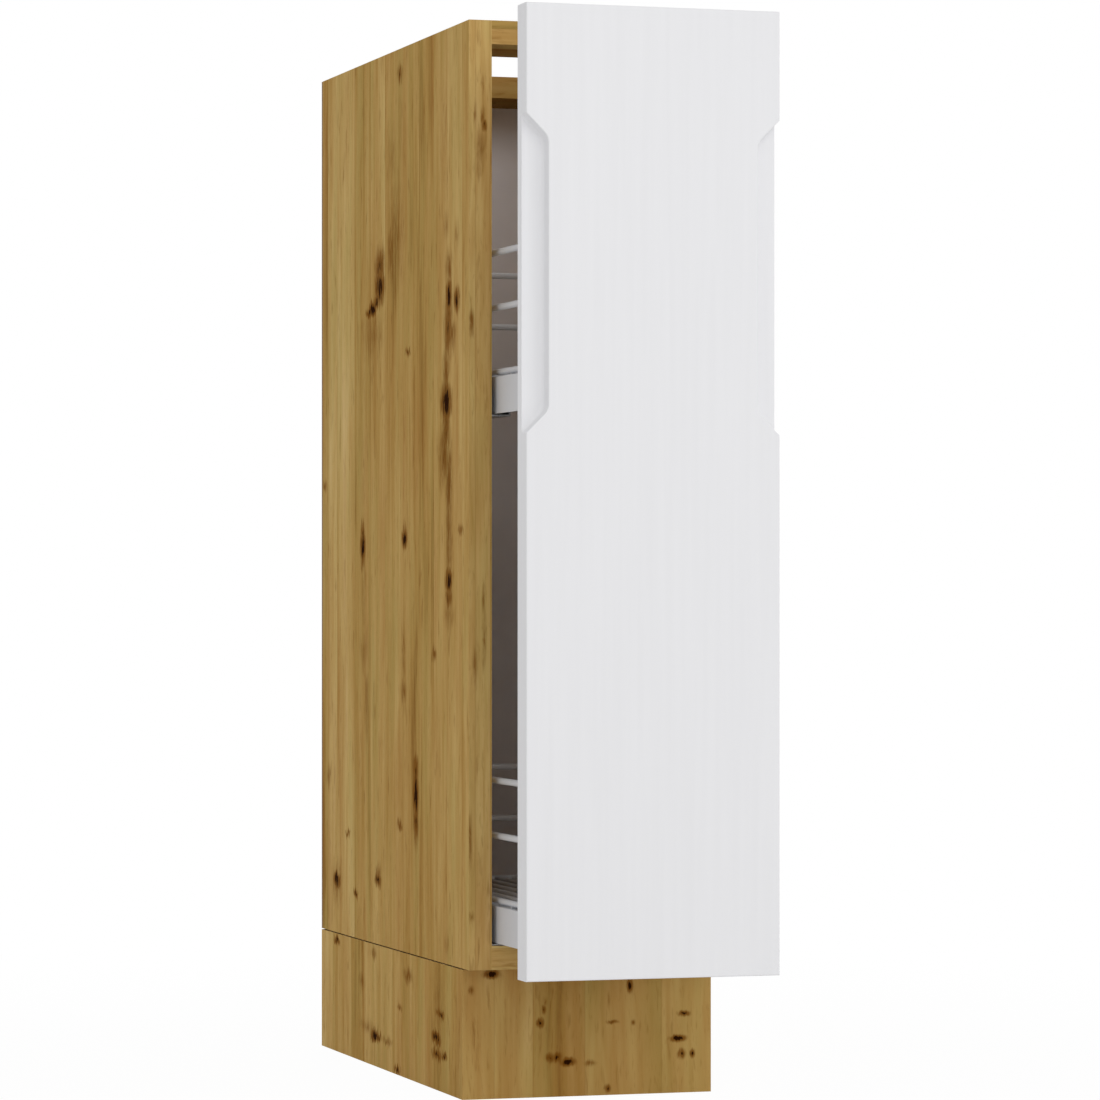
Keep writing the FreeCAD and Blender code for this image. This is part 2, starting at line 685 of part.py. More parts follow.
def roller_row(label, share, row_bottom):
    """Roller cages and rollers of all runners, one row: under or over the middle rails.

    share is the part of the pull-out's travel that the row makes, and row_bottom the height of the
    track that the rollers run on.
    """
    cages = []
    rollers = []
    front = f"({RUNNER_FRONT} + cage_inset - {share} * {REST_TRAVEL})"
    pitch = f"(cage_length / {ROLLERS_PER_CAGE})"
    strip = (f"{MIDDLE_OUTER} + slide_play", f"{MIDDLE_INNER} - slide_play")
    line = f"(({MIDDLE_OUTER} + {MIDDLE_INNER}) / 2)"
    for tier in TIERS:
        middle = f"({TIER_BASE[tier]} + {row_bottom} + {ROLLER_ROOM} / 2)"
        levels = (f"{middle} - cage_sheet / 2", f"{middle} + cage_sheet / 2")
        for side in SIDES:
            blank = block("cage_strip", from_side(side, *strip), (front, f"{front} + cage_length"),
                          levels)
            windows = []
            for step in range(ROLLERS_PER_CAGE):
                depth = f"({front} + {pitch} * {step + 0.5})"
                half = "roller_length / 2"
                rollers.append(rod("roller", "x", "roller_diameter",
                                   *from_side(side, f"{line} - {half}", f"{line} + {half}"),
                                   (depth, middle)))
                open_half = f"{half} + roller_window_play"
                reach = "roller_diameter / 2 + roller_window_play"
                windows.append(block(
                    "cage_window", from_side(side, f"{line} - ({open_half})", f"{line} + {open_half}"),
                    (f"{depth} - ({reach})", f"{depth} + {reach}"), levels))
            cages.append(carved("roller_cage", blank, windows))
    keep(gathered("roller_cages", cages), f"roller_cages_{label}", len(cages))
    keep(gathered("rollers", rollers), f"rollers_{label}", len(rollers))


def trays():
    """White steel tray sides, the bars between them, and the rivets and front screws."""
    rivets = []
    screws = []
    tray_rear = f"{FRONT_BACK} + {TRAY_LENGTH}"
    for tier in TIERS:
        base = TIER_BASE[tier]
        skirt = (f"{base} + tray_ground_gap", f"{base} + {TRAY_TOP}")
        flange = (f"{base} + {MOVING_TOP}", f"{base} + {TRAY_TOP}")
        bar_levels = (f"{base} + {MOVING_TOP} - cross_bar_sheet", f"{base} + {MOVING_TOP}")
        bars = {depth: [] for depth in BAR_SPOTS}
        for side in SIDES:
            whole = joined("tray_side_blank", [
                block("tray_skirt", from_side(side, "side_gap", SKIRT_INNER),
                      (FRONT_BACK, tray_rear), skirt),
                block("tray_flange", from_side(side, "side_gap", TRAY_FLANGE_END),
                      (FRONT_BACK, tray_rear), flange),
                block("tray_front_tab", from_side(side, "side_gap", TRAY_FLANGE_END),
                      (FRONT_BACK, f"{FRONT_BACK} + tray_sheet"), skirt),
            ])
            holes = []
            head = (f"{base} + {TRAY_TOP}", f"{base} + {TRAY_TOP} + rivet_head_height")
            spots = [(RIVET_LINE, depth, f"{base} + {MOVING_BOTTOM}") for depth in rivet_spots()]
            spots += [(BAR_LINE, depth, bar_levels[0]) for depth in BAR_SPOTS]
            for line, depth, low in spots:
                spot = (signed(side, f"{INNER_HALF} - {line}"), depth)
                rivets.append(joined("rivet", [
                    rod("rivet_shank", "z", "rivet_diameter", low, head[0], spot),
                    rod("rivet_top", "z", "rivet_head", *head, spot),
                ]))
                wide = "rivet_diameter + 2 * hole_play"
                holes.append(rod("rivet_hole", "z", wide, *flange, spot))
                if depth in bars:
                    bars[depth].append(rod("bar_hole", "z", wide, *bar_levels, spot))
            for step in (-0.5, 0.5):
                level = f"({skirt[0]} + {skirt[1]}) / 2 + {step} * front_screw_pitch"
                spot_x = signed(side, f"{INNER_HALF} - {BAR_LINE}")
                inner = f"{FRONT_BACK} + tray_sheet"
                point = f"{FRONT_BACK} - front_screw_depth"
                screws.append(joined("front_screw", [
                    rod("front_screw_shank", "y", "front_screw", point, inner, (spot_x, level)),
                    rod("front_screw_top", "y", "front_screw_head", inner,
                        f"{inner} + front_screw_head_height", (spot_x, level)),
                ]))
                holes.append(rod("tab_hole", "y", "front_screw + 2 * hole_play", FRONT_BACK, inner,
                                 (spot_x, level)))
                drill("front_panel", "y", "front_screw", point, FRONT_BACK, (spot_x, level))
            keep(carved("tray_side", whole, holes), f"tray_side_{tier}_{side}")
        strips = []
        for depth, holes in bars.items():
            reach = f"({INNER_HALF} - {BAR_EDGE})"
            strip = block("cross_bar", (f"-{reach}", reach),
                          (f"{depth} - cross_bar_width / 2", f"{depth} + cross_bar_width / 2"),
                          bar_levels)
            strips.append(carved("tray_cross_bar", strip, holes))
        keep(gathered("tray_cross_bars", strips), f"tray_cross_bars_{tier}", len(strips))
    keep(gathered("tray_rivets", rivets), "tray_rivets", len(rivets))
    keep(gathered("front_screws", screws), "front_screws", len(screws))


def wire_loop(wire, level):
    """Straight and bent lengths of a closed wire loop round a basket, at one height."""
    lengths = []
    straight = (f"{BASKET_FRONT} + basket_corner", f"{BASKET_REAR} - basket_corner")
    reach = f"({BASKET_HALF} - basket_corner)"
    for side in SIDES:
        lengths.append(rod("loop_side", "y", wire, *straight, (signed(side, BASKET_HALF), level)))
    for depth in (BASKET_FRONT, BASKET_REAR):
        lengths.append(rod("loop_end", "x", wire, f"-{reach}", reach, (depth, level)))
    corners = (
        (reach, straight[1], 0), (f"-{reach}", straight[1], 90),
        (f"-{reach}", straight[0], 180), (reach, straight[0], 270),
    )
    for across, depth, turn in corners:
        bend = doc.addObject("Part::Torus", "loop_bend")
        bind(bend, "Radius1", "basket_corner")
        bind(bend, "Radius2", f"{wire} / 2")
        bend.Angle3 = 90
        upright = FreeCAD.Vector(0, 0, 1)
        bend.Placement = FreeCAD.Placement(FreeCAD.Vector(), FreeCAD.Rotation(upright, turn))
        place(bend, (across, depth, level))
        lengths.append(bend)
    return lengths


def baskets():
    """Wire floors that lie on the trays, and the guard wires on their posts."""
    for tier in TIERS:
        top = f"({TIER_BASE[tier]} + {TRAY_TOP})"
        level = f"({top} + {FLOOR_LEVEL})"
        wires = wire_loop("border_wire", level)
        for wire in range(FLOOR_WIRES):
            share = 2 * (wire + 1) / (FLOOR_WIRES + 1) - 1
            wires.append(rod("long_wire", "y", "floor_wire", BASKET_FRONT, BASKET_REAR,
                             (f"{BASKET_HALF} * {share}", level)))
        for wire in range(CROSS_WIRES):
            depth = f"{BASKET_FRONT} + {CROSS_PITCH} * {wire + 1}"
            wires.append(rod("cross_wire", "x", "cross_wire", f"-{BASKET_HALF}", BASKET_HALF,
                             (depth, f"{top} + cross_wire / 2")))
        keep(joined("basket_floor", wires), f"basket_floor_{tier}")
        guards = wire_loop("guard_wire", f"({top} + guard_low)")
        guards += wire_loop("guard_wire", f"({top} + guard_high)")
        post_foot = f"{level} + border_wire / 2 - weld_depth"
        post_spots = (
            f"{BASKET_FRONT} + post_inset",
            f"({BASKET_FRONT} + {BASKET_REAR}) / 2",
            f"{BASKET_REAR} - post_inset",
        )
        for side in SIDES:
            for depth in post_spots:
                guards.append(rod("guard_post", "z", "post_wire", post_foot, f"{top} + guard_high",
                                  (signed(side, BASKET_HALF), depth)))
        keep(joined("basket_guard", guards), f"basket_guard_{tier}")


def guard_clips():
    """Plastic clips, pegged into the back of the front, that hold the guard wires' front ends."""
    clips = []
    bore = "guard_wire + 2 * hole_play"
    for tier in TIERS:
        top = f"({TIER_BASE[tier]} + {TRAY_TOP})"
        for height in ("guard_low", "guard_high"):
            level = f"({top} + {height})"
            levels = (f"{level} - clip_tall / 2", f"{level} + clip_tall / 2")
            for side in SIDES:
                middle = signed(side, "clip_offset")
                across = (f"{middle} - clip_width / 2", f"{middle} + clip_width / 2")
                body = block("clip_body", across, (FRONT_BACK, f"{FRONT_BACK} + clip_depth"), levels)
                peg = (f"{FRONT_BACK} - peg_depth", FRONT_BACK)
                whole = joined("clip_blank", [
                    body, rod("clip_peg", "y", "peg_diameter", *peg, (middle, level))])
                hole = rod("clip_hole", "x", bore, *across, (BASKET_FRONT, level))
                slit = block("clip_slit", across, (BASKET_FRONT, f"{FRONT_BACK} + clip_depth"),
                             (f"{level} - clip_slit / 2", f"{level} + clip_slit / 2"))
                clips.append(carved("guard_clip", whole, [hole, slit]))
                drill("front_panel", "y", "peg_diameter", *peg, (middle, level))
    keep(gathered("guard_clips", clips), "guard_clips", len(clips))


def bumper_pads():
    """Soft pads on the back of the front, opposite the carcass's front edges."""
    pads = []
    for side in SIDES:
        across = signed(side, f"{HALF_WIDTH} - board / 2")
        for level in (f"{FRONT_BOTTOM} + pad_inset", f"{FRONT_BOTTOM} + {FRONT_HEIGHT} - pad_inset"):
            pads.append(rod("bumper_pad", "y", "pad_diameter", FRONT_BACK,
                            f"{FRONT_BACK} + pad_height", (across, level)))
    keep(gathered("bumper_pads", pads), "bumper_pads", len(pads))


def rounded(body, name, radius, wanted):
    """Round those edges of a body's solid that the wanted test picks out."""
    doc.recompute()
    base = body.Tip
    picked = [f"Edge{number}" for number, edge in enumerate(base.Shape.Edges, start=1) if wanted(edge)]
    feature = body.newObject("PartDesign::Fillet", name)
    feature.Base = (base, picked)
    bind(feature, "Radius", radius)
    return feature


def front_panel():
    """White front: a rounded slab with a coved finger grip milled into each upright edge."""
    body = doc.addObject("PartDesign::Body", "front_slab")
    half = f"({FRONT_WIDTH} / 2)"
    slab = outline_sketch(body, "front_outline", [(
        (f"-{half}", "0"), (half, "0"), (half, FRONT_HEIGHT), (f"-{half}", FRONT_HEIGHT))])
    pad = body.newObject("PartDesign::Pad", "front_thickness")
    pad.Profile = slab
    pad.Reversed = True
    bind(pad, "Length", "front_thickness")

    top = f"({FRONT_HEIGHT} - grip_drop)"
    bottom = f"({top} - grip_length)"
    grips = []
    for side in SIDES:
        outer = signed(side, f"{half} + grip_width")
        inner = signed(side, f"{half} - grip_width")
        grips.append((
            (outer, f"{bottom} - grip_width"), (inner, f"{bottom} + grip_width"),
            (inner, f"{top} - grip_width"), (outer, f"{top} + grip_width")))
    milling = outline_sketch(body, "grip_outlines", grips)
    doc.recompute()
    solid_before = body.Shape.Volume
    pocket = body.newObject("PartDesign::Pocket", "grips")
    pocket.Profile = milling
    bind(pocket, "Length", "grip_depth")
    doc.recompute()
    if body.Shape.Volume >= solid_before:
        raise RuntimeError("the finger grips cut nothing")
    floor = sheet.get("grip_depth")
    edge_x = sheet.get("carcass_width") / 2 - sheet.get("front_side_reveal")
    wall_x = edge_x - sheet.get("grip_width")

    def in_corner(edge):
        """Whether an edge runs from the face to a grip's floor where its walls meet."""
        near, far = edge.Vertexes
        at_wall = all(abs(abs(corner.X) - wall_x) < TOUCH for corner in (near, far))
        return at_wall and abs(near.Y - far.Y) > TOUCH

    def in_cove(edge):
        """Whether an edge runs between a grip's floor and its inner walls."""
        ends = edge.Vertexes
        deep = all(abs(corner.Y - floor) < TOUCH for corner in ends)
        return deep and not all(abs(abs(corner.X) - edge_x) < TOUCH for corner in ends)

    def on_face(edge):
        """Whether an edge lies on the front face."""
        return all(abs(corner.Y) < TOUCH for corner in edge.Vertexes)

    rounded(body, "grip_corners", "grip_corner", in_corner)
    rounded(body, "grip_coves", "grip_cove", in_cove)
    rounded(body, "front_edges", "front_edge_radius", on_face)
    place(body, ("0", FRONT_FACE, FRONT_BOTTOM))
    keep(carved("front_panel", body, cuts["front_panel"]), "front_panel")


cam_fittings()
dowels()
back_pins()
worktop_holes()
plinth()
plinth_clips()
legs()
runners()
roller_row("fixed", 0.25, "runner_sheet")
roller_row("moving", 0.75, MIDDLE_TOP)
trays()
baskets()
guard_clips()
bumper_pads()
front_panel()
boards()
doc.recompute()

# Every object has to be sound before anything is written
for thing in doc.Objects:
    if "Invalid" in thing.State or "Error" in thing.State:
        raise RuntimeError(f"{thing.Label} failed: {thing.State}")
for node, solids in nodes:
    if node.Shape.isNull() or not node.Shape.isValid():
        raise RuntimeError(f"{node.Label} has no valid shape")
    if len(node.Shape.Solids) != solids:
        raise RuntimeError(f"{node.Label} has {len(node.Shape.Solids)} solids, not {solids}")

os.makedirs("parts", exist_ok=True)
for node, solids in nodes:
    node.Shape.exportStep(f"parts/{node.Label}.step")
print(f"{len(nodes)} sub-parts written")
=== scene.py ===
"""Looks of the pull-out pantry cabinet: finishes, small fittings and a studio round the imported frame.

Metres, +Z up, in the frame of the construction. Sizes of finishes and fittings are millimetres.
"""
import logging
import math
import random
from dataclasses import dataclass
from enum import Enum
from typing import Any, Callable, Sequence

import bmesh
import bpy
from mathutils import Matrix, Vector


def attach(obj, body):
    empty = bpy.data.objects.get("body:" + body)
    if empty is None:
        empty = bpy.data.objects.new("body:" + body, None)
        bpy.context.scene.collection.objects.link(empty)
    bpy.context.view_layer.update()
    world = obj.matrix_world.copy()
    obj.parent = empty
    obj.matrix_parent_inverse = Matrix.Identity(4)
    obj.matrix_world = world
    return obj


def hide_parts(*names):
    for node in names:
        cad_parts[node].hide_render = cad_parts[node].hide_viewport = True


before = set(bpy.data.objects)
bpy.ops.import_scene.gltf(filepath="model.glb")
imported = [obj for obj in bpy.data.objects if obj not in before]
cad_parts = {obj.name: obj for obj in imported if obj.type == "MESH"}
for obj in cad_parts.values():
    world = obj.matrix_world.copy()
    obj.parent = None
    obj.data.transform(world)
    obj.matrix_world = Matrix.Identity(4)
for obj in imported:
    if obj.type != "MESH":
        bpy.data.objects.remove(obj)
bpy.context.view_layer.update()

log = logging.getLogger("pantry")

# Short names of types
Tree = bpy.types.NodeTree
Node = bpy.types.Node
Socket = bpy.types.NodeSocket
Piece = bpy.types.Object
Pair = tuple[float, float]
Point = tuple[float, float, float]
Share = tuple[float, float, float]

SIDES = ("left", "right")
TIERS = ("lower", "upper")
ENDS = ("front", "rear")
RUNNER_PLACES = [f"{tier}_{side}" for tier in TIERS for side in SIDES]
CORNERS = [f"{end}_{side}" for end in ENDS for side in SIDES]
MILLIMETRES = 1000.0
MM = 1 / MILLIMETRES
# Half size of a knot along the axis that it ignores, in millimetres
FAR = 1e6
# Slack between two places or directions that count as one, places in millimetres
HAIR = 0.01
# Decimals of a place in metres by which pieces are put in order
PLACE_DECIMALS = 4
# A direction with more than this share along an axis counts as lying along it
MOSTLY = 0.9
# Values that most of a noise lies between, and its mean
NOISE_LOW = 0.3
NOISE_HIGH = 0.7
NOISE_MEAN = (0.5, 0.5, 0.5)


# Nodes and colours
def linear(colour: str) -> tuple[float, float, float, float]:
    """Turn an sRGB hex colour into linear light, by the curve of the sRGB standard.

    Args:
        colour: text such as #A08150.

    Returns:
        Red, green, blue and a full alpha.
    """
    channels = []
    for start in (1, 3, 5):
        value = int(colour[start:start + 2], 16) / 255
        low = value <= 0.04045
        channels.append(value / 12.92 if low else ((value + 0.055) / 1.055) ** 2.4)
    return (*channels, 1.0)


def empty_tree(owner: bpy.types.Material | bpy.types.World) -> Tree:
    """Turn on the nodes of a material or a world and clear them.

    Args:
        owner: the material or world.

    Returns:
        Its node tree, empty.
    """
    owner.use_nodes = True
    owner.node_tree.nodes.clear()
    return owner.node_tree


def feed(tree: Tree, node: Node, feeds: dict[Any, Any]) -> None:
    """Set a node's inputs to values, or link them to other nodes' outputs.

    Args:
        tree: node tree that holds the node.
        node: the node.
        feeds: input name or number, and the value or output socket that feeds it.
    """
    for key, value in feeds.items():
        if isinstance(value, Socket):
            tree.links.new(value, node.inputs[key])
        else:
            node.inputs[key].default_value = value


def add_node(tree: Tree, kind: str, feeds: dict[Any, Any] | None = None,
             stops: Sequence[tuple[float, str]] = (), **settings: Any) -> Node:
    """Add a shader node with its settings, input values and links.

    Args:
        tree: node tree that takes the node.
        kind: the node's type name, without the word ShaderNode.
        feeds: input name or number, and the value or output socket that feeds it.
        stops: places and hex colours, for a node that holds a colour ramp.
        settings: the node's own properties.

    Returns:
        The new node.
    """
    node = tree.nodes.new(f"ShaderNode{kind}")
    for name, value in settings.items():
        setattr(node, name, value)
    if stops:
        elements = node.color_ramp.elements
        while len(elements) < len(stops):
            elements.new(1.0)
        for element, (spot, colour) in zip(elements, stops):
            element.position = spot
            element.color = linear(colour)
    feed(tree, node, feeds or {})
    return node


def highest(tree: Tree, values: Sequence[Socket]) -> Socket:
    """Take the highest of some values at each point.

    Args:
        tree: node tree that takes the nodes.
        values: the values.

    Returns:
        The highest one.
    """
    top = values[0]
    for value in values[1:]:
        top = add_node(tree, "Math", {0: top, 1: value}, operation="MAXIMUM").outputs[0]
    return top


def place_in_millimetres(tree: Tree) -> Socket:
    """Return the surface point in the cabinet's frame, in millimetres."""
    spot = add_node(tree, "TexCoord").outputs["Object"]
    return add_node(tree, "VectorMath", {0: spot, 3: MILLIMETRES}, operation="SCALE").outputs[0]


class Finish:
    """A surface finish that makes its material once and hands it out."""

    name: str

    def material(self) -> bpy.types.Material:
        """Make the finish's material, on first use.

        Returns:
            The material.
        """
        made = bpy.data.materials.get(self.name)
        if made:
            return made
        made = bpy.data.materials.new(self.name)
        tree = empty_tree(made)
        shader = add_node(tree, "BsdfPrincipled")
        add_node(tree, "OutputMaterial", {"Surface": shader.outputs["BSDF"]})
        self.paint(tree, shader)
        return made

    def paint(self, tree: Tree, shader: Node) -> None:
        """Add the finish's own nodes to its tree."""
        raise NotImplementedError

    def coat(self, piece: Piece) -> None:
        """Put the finish on a piece, in place of any other."""
        piece.data.materials.clear()
        piece.data.materials.append(self.material())


class Grain(Enum):
    """Which way the oak's grain runs: the two axes across it, then the one along it."""

    UPRIGHT = ("X", "Y", "Z")
    CROSSWISE = ("Y", "Z", "X")
    DEEP = ("X", "Z", "Y")


class Face(Enum):
    """Which face of a board its knots are printed on, by the axis that they ignore."""

    SIDE = 0
    FRONT = 1
    TOP = 2


@dataclass(frozen=True)
class Knot:
    """A knot or fleck in the oak print: its middle and half sizes on the face, in millimetres.

    A darkness of 1 is an open black knot, and a lower one is a brown fleck.
    """

    across: float
    along: float
    wide: float
    tall: float
    darkness: float = 1.0


# Colours of the print from its darkest streaks to its lightest, and of the chips under it
BOARD_TONES = ("#916B33", "#B48F4F", "#C29E5F", "#CFAF6F", "#DABB80")
# The plinth front's tones are a darker copy of the board's: painted shade for the shade under the carcass's
# overhang
PLINTH_FRONT_PAINTED_SHADE_TONES = ("#86602C", "#A68142", "#B48F51", "#C09F60", "#CBAB70")
# The rails' tones are a darker copy of the board's: painted shade for the shade inside the carcass
RAIL_PAINTED_SHADE_TONES = ("#7D5A2A", "#9E7B42", "#AB8850", "#B8975E", "#C4A46D")
CHIP_TONES = ((0.0, "#7B5A34"), (0.35, "#A98757"), (0.8, "#C9AA78"), (1.0, "#DCC59A"))


@dataclass(frozen=True)
class OakDecor(Finish):
    """Knotty oak print on chipboard: matt, in upright strips, with streaky grain and dark knots.

    A layer of the grain has its size across the grain and along it. A share has the value of its noise
    at which it starts, the value at which it is full, and how much it is then. The pores are drawn
    wider than an oak's, so that they show.
    """

    name: str
    grain: Grain = Grain.UPRIGHT
    face: Face = Face.SIDE
    knots: tuple[Knot, ...] = ()
    cut_edges: tuple[Point, ...] = ()
    between_sides: float = 0.0
    shift: float = 0.0
    # colours
    tones: tuple[str, ...] = BOARD_TONES
    tone_stops: tuple[float, ...] = (0.0, 0.24, 0.5, 0.76, 1.0)
    tone_base: float = -0.64
    warm: str = "#A8743A"
    olive: str = "#B29E5C"
    fleck: str = "#774609"
    heart: str = "#240B02"
    # strips and the joints between them
    strip_width: float = 46.0
    strip_uneven: float = 0.75
    strip_apart: float = 37.0
    strip_contrast: float = 0.36
    joint_width: float = 0.7
    joint_dark: float = 0.22
    # layers of the grain and what each does to the colour
    wander: Pair = (70.0, 300.0)
    wander_reach: float = 16.0
    streak: Pair = (8.0, 120.0)
    streak_contrast: float = 0.82
    cloud: Pair = (28.0, 380.0)
    cloud_contrast: float = 1.10
    tint: Pair = (30.0, 210.0)
    warm_share: Share = (0.50, 0.72, 0.40)
    olive_share: Share = (0.50, 0.28, 0.45)
    dash: Pair = (5.0, 30.0)
    dash_share: Share = (0.60, 0.74, 0.36)
    pore: Pair = (1.5, 14.0)
    pore_share: Share = (0.58, 0.74, 0.25)
    # knots and the noise that breaks them up
    shard: Pair = (2.8, 13.0)
    shard_range: Pair = (0.35, 0.65)
    knot_reach: float = 2.6
    knot_ragged: Pair = (5.0, 16.0)
    knot_broken: Pair = (0.70, 1.20)
    halo_share: Share = (0.06, 0.52, 0.84)
    heart_share: Share = (0.53, 0.73, 0.96)
    # chips of the core, sheen and relief
    chip: float = 2.38
    roughness: Pair = (0.82, 0.70)
    bump: float = 0.25
    relief: float = 0.2
    gloss: float = 0.004

    def paint(self, tree: Tree, shader: Node) -> None:
        """Build the strips, grain, knots and cut edges.

        Args:
            tree: node tree of the finish.
            shader: its surface shader.
        """
        place = place_in_millimetres(tree)
        across, along = self.lay_grain(tree, place)
        strip, joints = self.lay_strips(tree, across)
        layers = self.draw_layers(tree, strip, across, along)
        wood = self.colour_wood(tree, strip, layers)
        start, full, most = self.pore_share
        pores = add_node(tree, "MapRange", {
            0: layers["pore"]["Fac"], 1: start, 2: full, 3: 0.0, 4: most}).outputs[0]
        lines = highest(tree, (pores, joints))
        wood = add_node(tree, "Mix", {0: lines, 6: wood, 7: linear(self.fleck)}, data_type="RGBA").outputs[2]
        wood = self.print_knots(tree, place, layers["shard"], wood)
        wood = self.show_core(tree, place, wood)
        fibre = layers["streak"]["Fac"]
        dull, sleek = self.roughness
        rough = add_node(tree, "MapRange", {
            0: fibre, 1: NOISE_LOW, 2: NOISE_HIGH, 3: dull, 4: sleek}).outputs[0]
        relief = add_node(tree, "Math", {0: fibre, 1: lines}, operation="SUBTRACT").outputs[0]
        bump = add_node(tree, "Bump", {
            "Height": relief, "Strength": self.bump, "Distance": self.relief * MM}).outputs[0]
        feed(tree, shader, {
            "Base Color": wood, "Roughness": rough, "Normal": bump, "Specular IOR Level": self.gloss})

    def lay_grain(self, tree: Tree, place: Socket) -> tuple[Socket, Socket]:
        """Find how far a point lies across the grain and along it.

        Args:
            tree: node tree of the finish.
            place: surface point in millimetres.

        Returns:
            The places across and along the grain, which lies level between the sides of an edged front.
        """
        axes = add_node(tree, "SeparateXYZ", {0: place}).outputs
        first, second, along = (axes[axis] for axis in self.grain.value)
        across = add_node(tree, "Math", {0: first, 1: second}, operation="ADD").outputs[0]
        if not self.between_sides:
            return across, along
        sideways = add_node(tree, "Math", {0: axes["X"]}, operation="ABSOLUTE").outputs[0]
        between = add_node(tree, "Math", {0: sideways, 1: self.between_sides},
                           operation="LESS_THAN").outputs[0]
        turned = [add_node(tree, "Mix", {0: between, 2: upright, 3: axes[level]}).outputs[0]
                  for upright, level in ((across, "Z"), (along, "X"))]
        return turned[0], turned[1]

    def lay_strips(self, tree: Tree, across: Socket) -> tuple[Socket, Socket]:
        """Part the board into strips of uneven width.

        Args:
            tree: node tree of the finish.
            across: place across the grain.

        Returns:
            A random number for each strip, and how dark the joints between the strips are.
        """
        row = add_node(tree, "Math", {0: across, 1: 1 / self.strip_width, 2: self.shift},
                       operation="MULTIPLY_ADD").outputs[0]
        feeds = {"W": row, "Scale": 1.0, "Randomness": self.strip_uneven}
        strips = add_node(tree, "TexVoronoi", feeds, voronoi_dimensions="1D")
        seams = add_node(tree, "TexVoronoi", feeds, voronoi_dimensions="1D", feature="DISTANCE_TO_EDGE")
        strip = add_node(tree, "SeparateColor", {0: strips.outputs["Color"]})
        joints = add_node(tree, "MapRange", {
            0: seams.outputs["Distance"], 1: 0.0, 2: self.joint_width / self.strip_width,
            3: self.joint_dark, 4: 0.0})
        return strip.outputs[0], joints.outputs[0]

    def draw_layers(self, tree: Tree, strip: Socket, across: Socket, along: Socket) -> dict[str, Any]:
        """Draw the noises that make up the grain, different in each strip.

        Args:
            tree: node tree of the finish.
            strip: random number of the strip.
            across: place across the grain.
            along: place along the grain.

        Returns:
            Each noise's outputs by its layer's name.
        """
        apart = add_node(tree, "Math", {0: strip, 1: self.strip_apart, 2: self.shift},
                         operation="MULTIPLY_ADD").outputs[0]
        bent = across
        layers = {}
        for layer, (wide, long), detail in (
                ("wander", self.wander, 2.0), ("streak", self.streak, 3.0), ("cloud", self.cloud, 2.0),
                ("tint", self.tint, 3.0), ("dash", self.dash, 2.0), ("pore", self.pore, 2.0),
                ("shard", self.shard, 3.0)):
            warp = add_node(tree, "Math", {0: bent, 1: 1 / wide}, operation="MULTIPLY").outputs[0]
            weft = add_node(tree, "Math", {0: along, 1: 1 / long}, operation="MULTIPLY").outputs[0]
            spot = add_node(tree, "CombineXYZ", {0: warp, 1: apart, 2: weft}).outputs[0]
            layers[layer] = add_node(tree, "TexNoise", {
                "Vector": spot, "Scale": 1.0, "Detail": detail, "Roughness": 0.55, "Distortion": 0.3}).outputs
            if layer == "wander":
                bent = add_node(tree, "Math", {0: layers[layer]["Fac"], 1: self.wander_reach, 2: across},
                                operation="MULTIPLY_ADD").outputs[0]
        return layers

    def colour_wood(self, tree: Tree, strip: Socket, layers: dict[str, Any]) -> Socket:
        """Tone the wood by its strips, streaks and clouds, and add warm, olive and dark touches.

        Args:
            tree: node tree of the finish.
            strip: random number of the strip.
            layers: outputs of the grain's noises.

        Returns:
            The colour of the wood.
        """
        tone = add_node(tree, "Math", {0: strip, 1: self.strip_contrast, 2: self.tone_base},
                        operation="MULTIPLY_ADD").outputs[0]
        for layer, contrast in (("streak", self.streak_contrast), ("cloud", self.cloud_contrast)):
            tone = add_node(tree, "Math", {0: layers[layer]["Fac"], 1: contrast, 2: tone},
                            operation="MULTIPLY_ADD").outputs[0]
        wood = add_node(tree, "ValToRGB", {0: tone}, tuple(zip(self.tone_stops, self.tones))).outputs[0]
        for layer, (start, full, most), colour in (
                ("tint", self.warm_share, self.warm), ("tint", self.olive_share, self.olive),
                ("dash", self.dash_share, self.fleck)):
            share = add_node(tree, "MapRange", {
                0: layers[layer]["Fac"], 1: start, 2: full, 3: 0.0, 4: most}).outputs[0]
            wood = add_node(tree, "Mix", {0: share, 6: wood, 7: linear(colour)}, data_type="RGBA").outputs[2]
        return wood

    def print_knots(self, tree: Tree, place: Socket, shards: Any, wood: Socket) -> Socket:
        """Lay the knots over the wood, each a dark heart in a brown halo with a ragged edge.

        Args:
            tree: node tree of the finish.
            place: surface point in millimetres.
            shards: outputs of the noise drawn out along the grain, which breaks up the knots.
            wood: colour so far.

        Returns:
            The colour with the knots.
        """
        if not self.knots:
            return wood
        wide, tall = self.knot_ragged
        reach = [tall if axis == self.grain.value[2] else wide for axis in "XYZ"]
        centred = add_node(tree, "VectorMath", {0: shards["Color"], 1: NOISE_MEAN}, operation="SUBTRACT")
        ragged = add_node(tree, "VectorMath", {0: centred.outputs[0], 1: reach, 2: place},
                          operation="MULTIPLY_ADD").outputs[0]
        marks = []
        for knot in self.knots:
            middle = [knot.across, knot.along]
            half = [knot.wide, knot.tall]
            middle.insert(self.face.value, 0.0)
            half.insert(self.face.value, FAR)
            inside = add_node(tree, "Mapping", {"Vector": ragged, "Location": middle, "Scale": half},
                              vector_type="TEXTURE").outputs[0]
            gap = add_node(tree, "VectorMath", {0: inside}, operation="LENGTH").outputs["Value"]
            marks.append(add_node(tree, "MapRange", {
                0: gap, 1: 0.0, 2: self.knot_reach, 3: knot.darkness, 4: 0.0}).outputs[0])
        low, high = self.shard_range
        least, most = self.knot_broken
        broken = add_node(tree, "MapRange", {0: shards["Fac"], 1: low, 2: high, 3: least, 4: most}).outputs[0]
